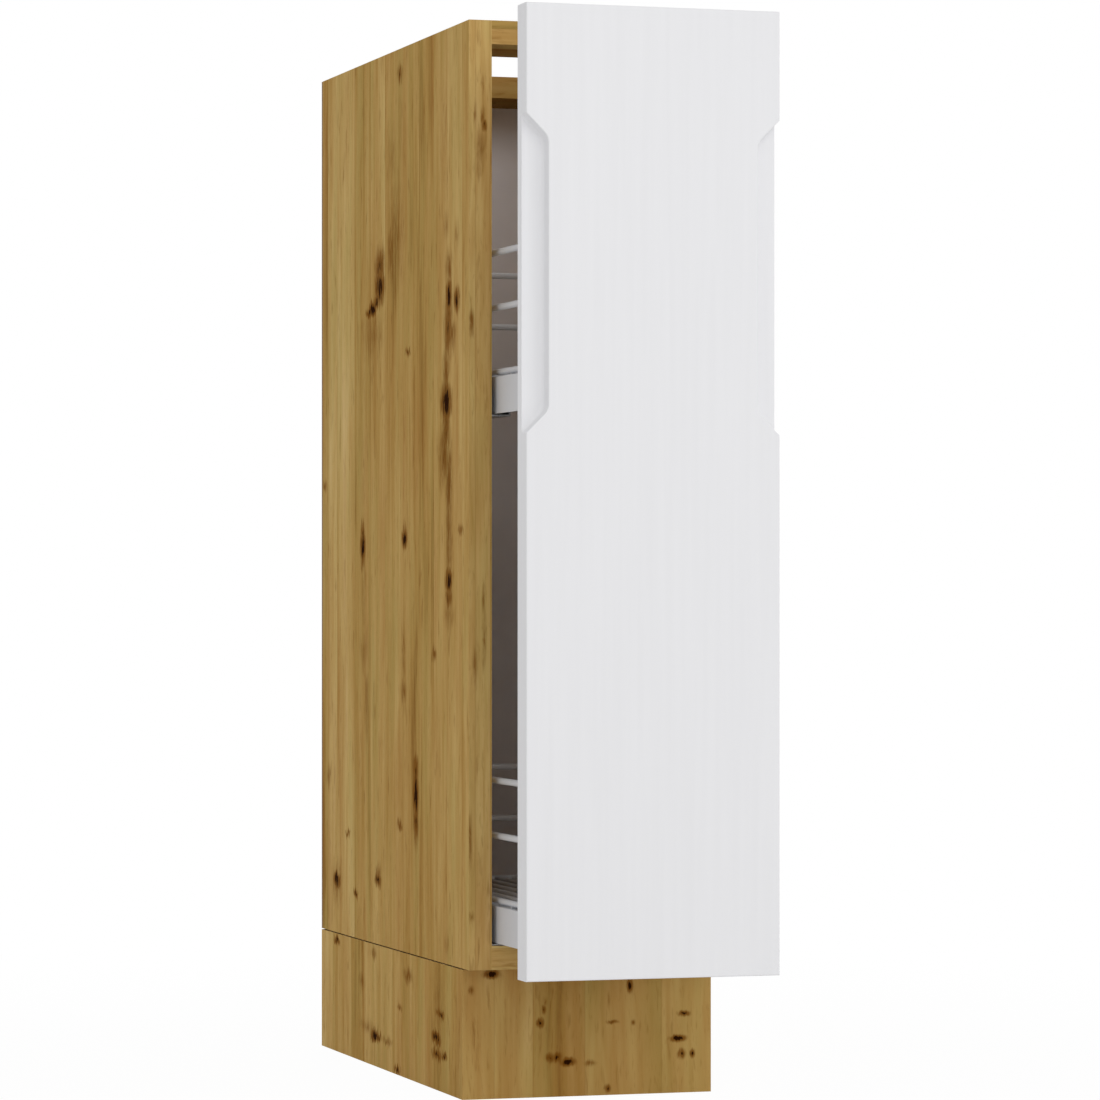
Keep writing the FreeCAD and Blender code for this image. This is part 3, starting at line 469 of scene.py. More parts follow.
        dark = add_node(tree, "Math", {0: highest(tree, marks), 1: broken}, operation="MULTIPLY").outputs[0]
        for (start, full, most), colour in ((self.halo_share, self.fleck), (self.heart_share, self.heart)):
            share = add_node(tree, "MapRange", {0: dark, 1: start, 2: full, 3: 0.0, 4: most},
                             interpolation_type="SMOOTHSTEP").outputs[0]
            wood = add_node(tree, "Mix", {0: share, 6: wood, 7: linear(colour)}, data_type="RGBA").outputs[2]
        return wood

    def show_core(self, tree: Tree, place: Socket, wood: Socket) -> Socket:
        """Show raw chipboard on the edges that carry no band.

        Args:
            tree: node tree of the finish.
            place: surface point in millimetres.
            wood: colour of the printed faces.

        Returns:
            The colour with the cut edges.
        """
        if not self.cut_edges:
            return wood
        chips = add_node(tree, "TexVoronoi", {"Vector": place, "Scale": 1 / self.chip, "Randomness": 1.0})
        tint = add_node(tree, "SeparateColor", {0: chips.outputs["Color"]}).outputs[0]
        core = add_node(tree, "ValToRGB", {0: tint}, CHIP_TONES).outputs[0]
        facing = add_node(tree, "TexCoord").outputs["Normal"]
        edges = []
        for direction in self.cut_edges:
            aim = add_node(tree, "VectorMath", {0: facing, 1: direction}, operation="DOT_PRODUCT")
            edges.append(add_node(tree, "Math", {0: aim.outputs["Value"], 1: MOSTLY},
                                  operation="GREATER_THAN").outputs[0])
        return add_node(tree, "Mix", {0: highest(tree, edges), 6: wood, 7: core},
                        data_type="RGBA").outputs[2]


@dataclass(frozen=True)
class PlainFinish(Finish):
    """A coated or moulded surface: one hue with faint clouds, fine grit and its own sheen.

    The grit is drawn coarser than the real one, so that it shows.
    """

    name: str
    slot: str
    colour: str
    shade: str
    roughness: float = 0.45
    uneven: float = 0.06
    metallic: float = 0.0
    cloud: Point = (60.0, 60.0, 60.0)
    grit: float = 1.2
    grit_range: Pair = (0.2, 0.8)
    bump: float = 0.3
    relief: float = 0.05
    ior: float = 1.5
    gloss: float = 0.5
    transmission: float = 0.0

    def paint(self, tree: Tree, shader: Node) -> None:
        """Build the clouds and the grit.

        Args:
            tree: node tree of the finish.
            shader: its surface shader.
        """
        place = place_in_millimetres(tree)
        wide = add_node(tree, "VectorMath", {0: place, 1: self.cloud}, operation="DIVIDE").outputs[0]
        clouds = add_node(tree, "TexNoise", {"Vector": wide, "Scale": 1.0, "Detail": 4.0}).outputs["Fac"]
        hue = add_node(tree, "ValToRGB", {0: clouds},
                       ((NOISE_LOW, self.shade), (NOISE_HIGH, self.colour))).outputs[0]
        fine = add_node(tree, "TexNoise", {
            "Vector": place, "Scale": 1 / self.grit, "Detail": 2.0}).outputs["Fac"]
        low, high = self.grit_range
        rough = add_node(tree, "MapRange", {
            0: fine, 1: low, 2: high,
            3: self.roughness - self.uneven, 4: self.roughness + self.uneven}).outputs[0]
        bump = add_node(tree, "Bump", {
            "Height": fine, "Strength": self.bump, "Distance": self.relief * MM}).outputs[0]
        feed(tree, shader, {
            "Base Color": hue, "Roughness": rough, "Normal": bump, "Metallic": self.metallic, "IOR": self.ior,
            "Specular IOR Level": self.gloss, "Transmission Weight": self.transmission})


@dataclass(frozen=True)
class Hardboard(Finish):
    """Hardboard back: lacquered pale on the inside, raw brown pressed fibre on the outside."""

    name: str = "hardboard_lacquered_one_side"
    inward: Point = (0.0, -1.0, 0.0)
    lacquer: str = "#F6F2F4"
    lacquer_shade: str = "#EEEAEC"
    lacquer_cloud: float = 50.0
    lacquer_roughness: float = 0.42
    fibre: str = "#8C6B47"
    fibre_dark: str = "#6E5134"
    fibre_size: Point = (5.0, 5.0, 2.2)
    fibre_roughness: float = 0.75
    bump: float = 0.2
    relief: float = 0.2

    def paint(self, tree: Tree, shader: Node) -> None:
        """Build the lacquer and the fibre, and part them by the way the face looks.

        Args:
            tree: node tree of the finish.
            shader: its surface shader.
        """
        place = place_in_millimetres(tree)
        clouds = add_node(tree, "TexNoise", {
            "Vector": place, "Scale": 1 / self.lacquer_cloud, "Detail": 3.0}).outputs["Fac"]
        inside = add_node(tree, "ValToRGB", {0: clouds},
                          ((NOISE_LOW, self.lacquer_shade), (NOISE_HIGH, self.lacquer))).outputs[0]
        felt = add_node(tree, "VectorMath", {0: place, 1: self.fibre_size}, operation="DIVIDE").outputs[0]
        fibres = add_node(tree, "TexNoise", {
            "Vector": felt, "Scale": 1.0, "Detail": 8.0, "Roughness": 0.7}).outputs["Fac"]
        outside = add_node(tree, "ValToRGB", {0: fibres},
                           ((NOISE_LOW, self.fibre_dark), (NOISE_HIGH, self.fibre))).outputs[0]
        facing = add_node(tree, "TexCoord").outputs["Normal"]
        aim = add_node(tree, "VectorMath", {0: facing, 1: self.inward}, operation="DOT_PRODUCT")
        inner = add_node(tree, "Math", {0: aim.outputs["Value"], 1: MOSTLY},
                         operation="GREATER_THAN").outputs[0]
        hue = add_node(tree, "Mix", {0: inner, 6: outside, 7: inside}, data_type="RGBA").outputs[2]
        rough = add_node(tree, "MapRange", {
            0: inner, 3: self.fibre_roughness, 4: self.lacquer_roughness}).outputs[0]
        bump = add_node(tree, "Bump", {
            "Height": fibres, "Strength": self.bump, "Distance": self.relief * MM}).outputs[0]
        feed(tree, shader, {"Base Color": hue, "Roughness": rough, "Normal": bump})


# Marks that show on the boards, in millimetres in the cabinet's frame
LEFT_SIDE_KNOTS = (
    # the large leaning knot, and the warm patch in front of it
    Knot(106, 650, 9, 10, 0.75), Knot(106, 634, 9, 9), Knot(116, 622, 6, 4, 0.9), Knot(128, 617, 7, 3.5),
    Knot(141, 614, 6, 2.5, 0.75), Knot(128, 596, 24, 16, 0.34), Knot(57, 672, 18, 34, 0.34),
    Knot(72, 660, 8, 16, 0.45),
    # the chain of knots along the front strip
    Knot(-98, 636, 7, 9, 0.5), Knot(-98, 615, 5, 8), Knot(-120, 610, 5, 6, 0.85), Knot(-96, 592, 8, 18, 0.62),
    Knot(-106, 584, 8, 9, 0.5), Knot(-90, 557, 6, 14, 0.55), Knot(-90, 533, 9, 9),
    Knot(-90, 513, 7, 11, 0.68), Knot(-84, 492, 10, 15, 0.55), Knot(-98, 470, 6, 26, 0.56),
    Knot(-98, 430, 6, 30, 0.48), Knot(-98, 396, 6, 5.5), Knot(-98, 382, 6, 6, 0.7),
    Knot(-98, 369, 10, 8, 0.4),
    # slim upright knots with their trails
    Knot(160, 424, 5, 8), Knot(160, 434, 4, 7, 0.7), Knot(160, 411, 5, 6, 0.5), Knot(158, 384, 6, 30, 0.26),
    Knot(158, 478, 8, 36, 0.22), Knot(31, 428, 5, 4.5), Knot(31, 435, 4, 5, 0.5), Knot(33, 330, 5, 28, 0.32),
    Knot(33, 308, 6, 7, 0.45), Knot(-3, 226, 5, 12), Knot(-3, 246, 5, 7, 0.75), Knot(-3, 205, 5, 10, 0.75),
    Knot(-3, 191, 4, 7, 0.4),
    # two low knots and the pin knots
    Knot(245, 144, 7, 4.5, 0.95), Knot(245, 142, 12, 13, 0.4), Knot(112, 152, 6, 3.5, 0.95),
    Knot(112, 159, 6, 5, 0.5), Knot(183, 137, 5, 2.5, 0.7), Knot(209, 185, 5, 2, 0.75),
    Knot(45, 200, 5, 3, 0.65), Knot(21, 577, 5, 2, 0.75), Knot(-131, 434, 5, 2.5, 0.6),
    Knot(-56, 338, 5, 3.5, 0.6), Knot(286, 476, 5, 3, 0.5), Knot(45, 800, 5, 5, 0.6),
    # faint brown streaks
    Knot(147, 293, 6, 20, 0.38), Knot(154, 338, 11, 15, 0.33), Knot(69, 733, 14, 22, 0.25),
    Knot(42, 755, 8, 34, 0.22), Knot(272, 231, 5, 8, 0.4), Knot(-92, 115, 6, 7, 0.3),
    Knot(-90, 669, 6, 7, 0.35), Knot(-120, 659, 5, 9, 0.35), Knot(-81, 743, 9, 48, 0.2),
)
LEFT_PLINTH_KNOTS = (
    Knot(245, 93, 6, 2, 0.9), Knot(125, 92, 6, 3, 0.5), Knot(163, 66, 6, 5, 0.45), Knot(21, 82, 9, 4, 0.55),
    Knot(45, 55, 5, 2, 0.5), Knot(147, 30, 18, 4, 0.35), Knot(122, 25, 8, 3), Knot(109, 25, 5, 2, 0.8),
    Knot(84, 24, 12, 2, 0.45), Knot(54, 4, 6, 2, 0.8), Knot(-75, 59, 6, 2, 0.85), Knot(-68, 61, 9, 3, 0.5),
    Knot(-61, 41, 7, 3), Knot(-67, 38, 5, 2, 0.8), Knot(-64, 28, 9, 3, 0.8), Knot(-84, 28, 5, 2, 0.85),
    Knot(-67, 66, 14, 30, 0.26),
)
FRONT_PLINTH_KNOTS = (
    Knot(-77, 95, 4, 2, 0.95), Knot(-93, 83, 1.6, 2.2, 0.6), Knot(-38, 57, 1.8, 2.4, 0.9),
    Knot(-35, 67, 1.2, 2.4, 0.6), Knot(-34, 73, 1.6, 3, 0.35), Knot(-30, 30, 2.8, 2.4, 0.6),
    Knot(-24, 30, 2.4, 2.4, 0.7), Knot(-16, 26.5, 3.6, 2), Knot(2, 25, 3.2, 1.6, 0.5),
    Knot(34, 84, 1.6, 3.2, 0.95), Knot(20, 56, 3.2, 1, 0.65), Knot(17, 73, 1, 5, 0.35),
    Knot(37, 55, 1, 1.6, 0.6), Knot(78, 61, 3.2, 1.4, 0.8), Knot(73, 42, 4, 1.6), Knot(76, 30, 2, 2.4, 0.85),
    Knot(85, 30, 1.2, 2, 0.85), Knot(16, 5, 1.6, 2, 0.8),
)
EDGE_KNOTS = (
    Knot(-89, 771, 1.0, 5, 0.38), Knot(-89, 746, 1.2, 5, 0.5), Knot(-88, 740, 1.4, 3, 0.72),
    Knot(-95, 750, 1.0, 7, 0.4), Knot(-91, 722, 2.4, 11, 0.40), Knot(-92, 709, 1.2, 6, 0.35),
    Knot(-98, 591, 1.4, 6, 0.6), Knot(-86, 532, 1.6, 24, 0.28), Knot(-88, 380, 1.2, 12, 0.35),
    Knot(-88, 350, 1.4, 16, 0.4), Knot(-95, 331, 1.6, 12, 0.35), Knot(-99, 198, 1.2, 14, 0.45),
    Knot(-98, 140, 1.6, 3, 0.4),
)

# Half widths of scattered knots, their heights beside those, and how dark they are
SCATTERED_WIDTHS = (3.0, 9.0)
SCATTERED_STRETCH = (0.5, 2.6)
SCATTERED_DARKNESS = (0.5, 0.8, 1.0)


def scattered_knots(seed: int, across: Pair, along: Pair, count: int) -> tuple[Knot, ...]:
    """Scatter knots over a face that the photograph doesn't show.

    Args:
        seed: start of the random row, so that each run gives the same knots.
        across: lowest and highest place across the grain.
        along: lowest and highest place along the grain.
        count: how many knots.

    Returns:
        The knots.
    """
    draw = random.Random(seed)
    knots = []
    for _ in range(count):
        wide = draw.uniform(*SCATTERED_WIDTHS)
        knots.append(Knot(draw.uniform(*across), draw.uniform(*along), wide,
                          wide * draw.uniform(*SCATTERED_STRETCH), draw.choice(SCATTERED_DARKNESS)))
    return tuple(knots)


# Ways that the edges without a band look
BARE_PLINTH_EDGES = ((0.0, 0.0, 1.0), (0.0, 0.0, -1.0))
BARE_BOARD_EDGES = (*BARE_PLINTH_EDGES, (0.0, 1.0, 0.0))

# Printed oak on chipboard, sealed matt: warm brown strips with streaks and fine dark pores, black knots in
# brown halos, hardly any shine, and speckled raw chips on the cut edges
OAK_LEFT = OakDecor("oak_decor_left_side", knots=LEFT_SIDE_KNOTS, cut_edges=BARE_BOARD_EDGES)
OAK_RIGHT = OakDecor("oak_decor_right_side", cut_edges=BARE_BOARD_EDGES, shift=17.3,
                     knots=scattered_knots(11, (-140, 285), (120, 800), 18))
# The same print on the rails, darker as painted shade for the shade inside the carcass, with its streaks from
# side to side
OAK_RAIL = OakDecor("oak_decor_rails", Grain.CROSSWISE, Face.TOP, tones=RAIL_PAINTED_SHADE_TONES, shift=5.1)
# The same print on the bottom, with its streaks from front to rear
OAK_BOTTOM = OakDecor("oak_decor_bottom", Grain.DEEP, Face.TOP, shift=9.4,
                      knots=scattered_knots(5, (-75, 75), (-140, 285), 6))
# The same print on the plinth, upright: the front board is darker, painted shade for the shade under the
# carcass, and has small knots
OAK_PLINTH_LEFT = OakDecor("oak_decor_plinth_left", knots=LEFT_PLINTH_KNOTS, cut_edges=BARE_PLINTH_EDGES,
                           shift=2.6)
OAK_PLINTH_RIGHT = OakDecor("oak_decor_plinth_right", cut_edges=BARE_PLINTH_EDGES, shift=13.9,
                            knots=scattered_knots(23, (-110, 285), (8, 92), 7))
OAK_PLINTH_FRONT = OakDecor("oak_decor_plinth_front", face=Face.FRONT, knots=FRONT_PLINTH_KNOTS,
                            tones=PLINTH_FRONT_PAINTED_SHADE_TONES, cut_edges=BARE_PLINTH_EDGES, shift=7.7,
                            knot_ragged=(2.4, 4.0))
# Printed edging: narrow strips with slim streaks, which run lengthwise on every edge
OAK_EDGING = OakDecor("oak_decor_edging", face=Face.FRONT, knots=EDGE_KNOTS, between_sides=82.0, shift=6.1,
                      strip_width=13.0, streak=(3.0, 60.0), knot_ragged=(1.6, 8.0))
# Wrapped front: an even cool white with a faint upright grain, matt enough to mirror nothing
WHITE_FOIL = PlainFinish("white_matt_foil_on_fibreboard", "white_front", "#EEEEF0", "#ECECEE", 0.46,
                         cloud=(5.0, 5.0, 170.0), grit=0.9, relief=0.02, gloss=0.16)
# Baked powder on wire and sheet: white, painted greyer and cooler as shade for the trays inside the carcass,
# with a slight orange peel that blurs its highlights
POWDER_COAT = PlainFinish("white_powder_coated_steel", "white_steel", "#D9DBDF", "#D1D3D7", 0.38, grit=1.4,
                          relief=0.06, gloss=0.3)
# Bright zinc: grey metal with cloudy patches of tone and broad soft reflections
ZINC = PlainFinish("bright_zinc_plated_steel", "zinc_steel", "#C3C5C7", "#A9ACAF", 0.30, metallic=1.0,
                   cloud=(7.0, 7.0, 7.0), relief=0.03)
# Roller cages: pale waxy grey with a dull sheen
CAGE_PLASTIC = PlainFinish("pale_grey_moulded_acetal", "cage_plastic", "#C9CAC6", "#BDBEBA", 0.5)
# Legs and clips: near black, with the fine spark-eroded grain of the mould and a low sheen
BLACK_PLASTIC = PlainFinish("black_moulded_polypropylene", "black_plastic", "#242426", "#1A1A1B", 0.55,
                            grit=0.8)
# Guard clips: clean smooth white with a small clear highlight
WHITE_PLASTIC = PlainFinish("white_moulded_abs", "white_plastic", "#E9E8E5", "#E0DFDC", 0.4)
# Bumper pads: milky clear drops that take on the white behind them and catch a sharp highlight
CLEAR_SILICONE = PlainFinish("clear_cast_silicone", "clear_pad", "#EDEFEE", "#E2E5E4", 0.16, ior=1.41,
                             transmission=0.3)
# Fluted beech: pale pinkish brown with short dark rays
BEECH = PlainFinish("turned_beech", "beech", "#C9A070", "#A97D4C", 0.6, cloud=(0.8, 0.8, 6.0))
# Pressed fibre, lacquered on one side: an even pale face with a soft sheen inside, felted dull brown outside
HARDBOARD = Hardboard()


def dress(finish: Finish, *nodes: str) -> None:
    """Give CAD nodes a finish and report each one.

    Args:
        finish: the finish.
        nodes: names of the nodes.
    """
    for node in nodes:
        finish.coat(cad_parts[node])
        log.info("%s: %s", node, finish.name)


# Bench work: picking, shaping, copying and seating the modelled fittings
class Element(Enum):
    """Kinds of mesh element that can be picked."""

    FACES = "FACE"
    EDGES = "EDGE"


class Change(Enum):
    """Ways in which one shape changes another."""

    ADD = "UNION"
    CUT = "DIFFERENCE"


class Facing(Enum):
    """Which way a fitting's face looks, as the turns about X, Y and Z that take it there from looking up."""

    UP = (0.0, 0.0, 0.0)
    DOWN = (math.pi, 0.0, 0.0)
    RIGHT = (0.0, math.pi / 2, 0.0)
    LEFT = (0.0, -math.pi / 2, 0.0)
    REARWARD = (-math.pi / 2, 0.0, 0.0)


# Angles between two faces, in degrees: under the first they are one flat face, under the second they are
# shaded as one round, and over the third their edge is sharp
FLAT_ANGLE = 1.0
ROUND_ANGLE = 32.0
SHARP_ANGLE = 40.0
# Steps round a small edge
EDGE_STEPS = 2
# Steps of a domed head: shares of its half width inwards and of its crown upwards
DOME_STEPS = ((0.09, 0.45), (0.16, 0.35), (0.25, 0.20))
# Part of a slanting reach that goes along each of two axes
SLANT = 0.707


def take(piece: Piece | None = None) -> None:
    """Leave edit mode and select one piece alone, or nothing.

    Args:
        piece: the piece that the next operator acts on.
    """
    if bpy.context.object and bpy.context.object.mode == "EDIT":
        bpy.ops.object.mode_set(mode="OBJECT")
    bpy.ops.object.select_all(action="DESELECT")
    if piece:
        piece.select_set(True)
        bpy.context.view_layer.objects.active = piece


def pick(piece: Piece, element: Element, wanted: Callable[[Vector, Vector], bool]) -> None:
    """Select faces or edges of a piece in edit mode by where they are and which way they look.

    Args:
        piece: the piece that goes into edit mode.
        element: faces or edges.
        wanted: takes an element's middle in millimetres and a face's normal or an edge's direction.
    """
    take(piece)
    bpy.ops.object.mode_set(mode="EDIT")
    bpy.ops.mesh.select_mode(type=element.value)
    bpy.ops.mesh.select_all(action="DESELECT")
    shape = bmesh.from_edit_mesh(piece.data)
    for face in shape.faces if element is Element.FACES else ():
        if wanted(face.calc_center_median() * MILLIMETRES, face.normal):
            face.select_set(True)
    for edge in shape.edges if element is Element.EDGES else ():
        start, end = (corner.co for corner in edge.verts)
        if wanted((start + end) / 2 * MILLIMETRES, (end - start).normalized()):
            edge.select_set(True)
    bmesh.update_edit_mesh(piece.data)


def pick_top(piece: Piece) -> None:
    """Select the faces of a piece that look up."""
    pick(piece, Element.FACES, lambda spot, way: way.z > MOSTLY)


def fix_place() -> None:
    """Move the selected pieces' place and turn into their meshes."""
    bpy.ops.object.transform_apply(location=True, rotation=True, scale=True)


def round_bar(diameter: float, low: float, high: float, sides: int = 48, beside: Pair = (0.0, 0.0)) -> Piece:
    """Start a piece as an upright round bar.

    Args:
        diameter: its diameter, in millimetres.
        low: height of its lower end.
        high: height of its upper end.
        sides: how many flats go round it.
        beside: where its axis stands.

    Returns:
        The bar.
    """
    take()
    middle = Vector((*beside, (low + high) / 2)) * MM
    bpy.ops.mesh.primitive_cylinder_add(vertices=sides, radius=diameter / 2 * MM, depth=(high - low) * MM,
                                        location=middle)
    fix_place()
    return bpy.context.object


def block(size: Point, middle: Point, turn: float = 0.0) -> Piece:
    """Start a piece as a block.

    Args:
        size: its lengths along X, Y and Z before it is turned, in millimetres.
        middle: its middle.
        turn: its turn about Z, in radians.

    Returns:
        The block.
    """
    take()
    bpy.ops.mesh.primitive_cube_add(size=MM, location=Vector(middle) * MM, rotation=(0.0, 0.0, turn),
                                    scale=size)
    fix_place()
    return bpy.context.object


def draw_out(step: float, grow: float = 1.0) -> None:
    """Extrude the picked end face along the upright axis and swell or narrow its new end.

    Args:
        step: how far, in millimetres, and downwards where it is negative.
        grow: the new end's width beside the old one's.
    """
    bpy.ops.mesh.extrude_region_move(TRANSFORM_OT_translate={"value": (0.0, 0.0, step * MM)})
    bpy.ops.transform.resize(value=(grow, grow, 1.0), center_override=(0.0, 0.0, 0.0))


def draw_rings(length: float, pitch: float, swell: float) -> None:
    """Draw the picked end face out in rings, which stand for a thread.

    Args:
        length: how far, in millimetres, and downwards where it is negative.
        pitch: about how far the rings are apart.
        swell: width over the rings beside the width between them.
    """
    turns = round(abs(length) / pitch)
    for grow in (swell, 1 / swell) * turns:
        draw_out(length / turns / 2, grow)


def dish_face(rim: float, depth: float) -> None:
    """Sink the picked face inside a rim, with a sloping wall round it."""
    bpy.ops.mesh.inset(thickness=rim * MM)
    bpy.ops.mesh.inset(thickness=depth * MM, depth=-depth * MM)


def groove(piece: Piece, sides: int, lip: float, depth: float) -> None:
    """Sink every second flat round a bar, for flutes or a knurl.

    Args:
        piece: the bar.
        sides: how many flats it has.
        lip: how much of a flat's edge stays proud, in millimetres.
        depth: how deep the flat sinks.
    """
    flat = math.tau / sides
    pick(piece, Element.FACES, lambda spot, way: abs(way.z) < HAIR
         and math.floor(math.atan2(spot.y, spot.x) / flat) % 2 == 0)
    bpy.ops.mesh.inset(thickness=lip * MM, depth=-depth * MM, use_individual=True)


def change(piece: Piece, tool: Piece, how: Change) -> None:
    """Join a tool shape to a piece, or cut it out of the piece, and put the tool away.

    Args:
        piece: the piece that is changed.
        tool: the shape that changes it.
        how: join or cut.
    """
    take(piece)
    bpy.ops.object.modifier_add(type="BOOLEAN")
    step = piece.modifiers[-1]
    step.operation = how.value
    step.object = tool
    bpy.ops.object.modifier_apply(modifier=step.name)
    bpy.data.objects.remove(tool)


def cut_cross(piece: Piece, face: float, length: float, width: float, depth: float) -> None:
    """Cut a cross slot into a face that looks up.

    Args:
        piece: the piece.
        face: height of the face, in millimetres.
        length: length of each slot.
        width: its width.
        depth: its depth.
    """
    for turn in (0.0, math.pi / 2):
        change(piece, block((length, width, 2 * depth), (0.0, 0.0, face), turn), Change.CUT)


def smooth(piece: Piece) -> Piece:
    """Shade a piece's round faces smooth and keep its edges crisp.

    Args:
        piece: the piece.

    Returns:
        The same piece.
    """
    take(piece)
    bpy.ops.object.shade_smooth_by_angle(angle=math.radians(ROUND_ANGLE))
    return piece


def settle(piece: Piece, node: str, body: str, finish: PlainFinish) -> None:
    """Dress a modelled piece and let it stand for its CAD node.

    Args:
        piece: the piece, in place.
        node: the CAD node that it replaces.
        body: the CAD body that it moves with.
        finish: its finish.
    """
    finish.coat(piece)
    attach(piece, body)
    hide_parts(node)
    log.info("%s: %s on %s", piece.name, finish.name, body)


def soften(node: str, body: str, finish: PlainFinish, radius: float) -> None:
    """Stand a copy of a CAD node in its place, with its sharp edges rounded as a mould leaves them.

    Args:
        node: the CAD node.
        body: the CAD body that it moves with.
        finish: its finish.
        radius: radius of the edges, in millimetres.
    """
    take()
    piece = bpy.data.objects.new(f"{node}_moulded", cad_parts[node].data.copy())
    bpy.context.scene.collection.objects.link(piece)
    pick(piece, Element.FACES, lambda spot, way: True)
    bpy.ops.mesh.remove_doubles(threshold=HAIR * MM)
    bpy.ops.mesh.dissolve_limited(angle_limit=math.radians(FLAT_ANGLE))
    take(piece)
    bpy.ops.object.modifier_add(type="BEVEL")
    rounding = piece.modifiers[-1]
    rounding.width = radius * MM
    rounding.segments = EDGE_STEPS
    rounding.limit_method = "ANGLE"
    rounding.angle_limit = math.radians(SHARP_ANGLE)
    bpy.ops.object.modifier_apply(modifier=rounding.name)
    settle(smooth(piece), node, body, finish)


def solids_of(node: str) -> list[Vector]:
    """Find the separate solids that a CAD node holds.

    Args:
        node: the CAD node.

    Returns:
        The middle of each solid's box, in metres, in the order of their places.
    """
    mesh = bmesh.new()
    mesh.from_mesh(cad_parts[node].data)
    bmesh.ops.remove_doubles(mesh, verts=mesh.verts, dist=HAIR * MM)
    left = set(mesh.verts)
    middles = []
    while left:
        group = [left.pop()]
        # the group grows as its neighbours are found
        for corner in group:
            for other in (edge.other_vert(corner) for edge in corner.link_edges):
                if other in left:
                    left.remove(other)
                    group.append(other)
        spans = [(min(spread), max(spread)) for spread in zip(*(corner.co for corner in group))]
        middles.append(Vector([(low + high) / 2 for low, high in spans]))
    mesh.free()
    return sorted(middles, key=lambda middle: [round(place, PLACE_DECIMALS) for place in middle])


class Fitting:
    """A fitting that is modelled once, about the origin and looking up, and copied to each of its seats."""

    def model(self) -> Piece:
        """Model the fitting."""
        raise NotImplementedError

    def seat(self, node: str, body: str, finish: PlainFinish, facing: Callable[[Vector], Facing]) -> None:
        """Stand a copy in the place of each solid of a CAD node.

        Args:
            node: the CAD node.
            body: the CAD body that the copies move with.
            finish: their finish.
            facing: takes a seat's middle and says which way the fitting looks there.
        """
        pattern = smooth(self.model())
        for number, middle in enumerate(solids_of(node), 1):
            take(pattern)
            bpy.ops.object.duplicate(linked=False)
            copy = bpy.context.object
            copy.name = f"{node}_{number:02d}"
            copy.location = middle
            copy.rotation_euler = facing(middle).value
            fix_place()
            settle(copy, node, body, finish)
        bpy.data.objects.remove(pattern)


@dataclass(frozen=True)
class CamLock(Fitting):
    """Cam of a knock-down joint: a drum with a raised rim, a dished face, a cross slot and an arrow."""

    diameter: float = 15.0
    depth: float = 12.5
    rim: float = 1.3
    dish: float = 0.5
    edge: float = 0.4
    slot_length: float = 7.0
    slot_width: float = 1.7
    slot_depth: float = 2.4
    arrow: float = 2.4
    arrow_sides: int = 3
    arrow_reach: float = 4.5

    def model(self) -> Piece:
        """Turn the drum, dish its face, then cut the slots and the arrow.

        Returns:
            The cam.
        """
        top = self.depth / 2
        face = top - self.dish
        lock = round_bar(self.diameter, -top, top)
        pick_top(lock)
        dish_face(self.rim, self.dish)
        outside = self.diameter / 2 - self.rim / 2
        pick(lock, Element.EDGES, lambda spot, way: spot.z > top - HAIR and spot.xy.length > outside)
        bpy.ops.mesh.bevel(offset=self.edge * MM, segments=EDGE_STEPS)
        cut_cross(lock, face, self.slot_length, self.slot_width, self.slot_depth)
        aside = self.arrow_reach * SLANT
        mark = round_bar(self.arrow, face - self.dish, top, self.arrow_sides, (aside, aside))
        change(lock, mark, Change.CUT)
        return lock


@dataclass(frozen=True)
class Fastener(Fitting):
    """A screw, pin or rivet with a domed head and a ringed or plain shank that may end in a point.

    All sizes are millimetres, and one that is 0 leaves its feature out. The point's end is given beside
    the shank's width.
    """

    head: float
    head_height: float
    crown: float
    length: float
    shank: float
    tip: float = 0.0
    tip_end: float = 0.12
    thread: float = 0.0
    pitch: float = 1.6
    cross: float = 0.0
    cross_width: float = 0.9
    cross_depth: float = 1.1
    hole: float = 0.0
    sides: int = 24

    def model(self) -> Piece:
        """Dome the head, draw out the shank and cut the cross or the hole.

        Returns:
            The fastener.
        """
        top = self.length / 2
        piece = round_bar(self.head, top - self.head_height, top - self.crown, self.sides)
        pick_top(piece)
        for inward, upward in DOME_STEPS:
            bpy.ops.mesh.inset(thickness=inward * self.head / 2 * MM, depth=upward * self.crown * MM)
        pick(piece, Element.FACES, lambda spot, way: way.z < -MOSTLY)
        bpy.ops.mesh.inset(thickness=(self.head - self.shank) / 2 * MM)
        plain = self.length - self.head_height - self.tip
        if self.thread:
            draw_rings(-plain, self.pitch, self.thread / self.shank)
        else:
            draw_out(-plain)
        if self.tip:
            draw_out(-self.tip, self.tip_end)
        if self.cross:
            cut_cross(piece, top, self.cross, self.cross_width, self.cross_depth)
        if self.hole:
            drill = round_bar(self.hole, top - self.head_height, top + self.crown, self.sides)
            change(piece, drill, Change.CUT)
        return piece


def chipboard_screw(length: float) -> Fastener:
    """Give a 3.5 mm chipboard screw of a stated length."""
    return Fastener(head=7.0, head_height=1.8, crown=1.0, length=length, shank=2.6, thread=3.5, tip=4.0,
                    cross=3.6)


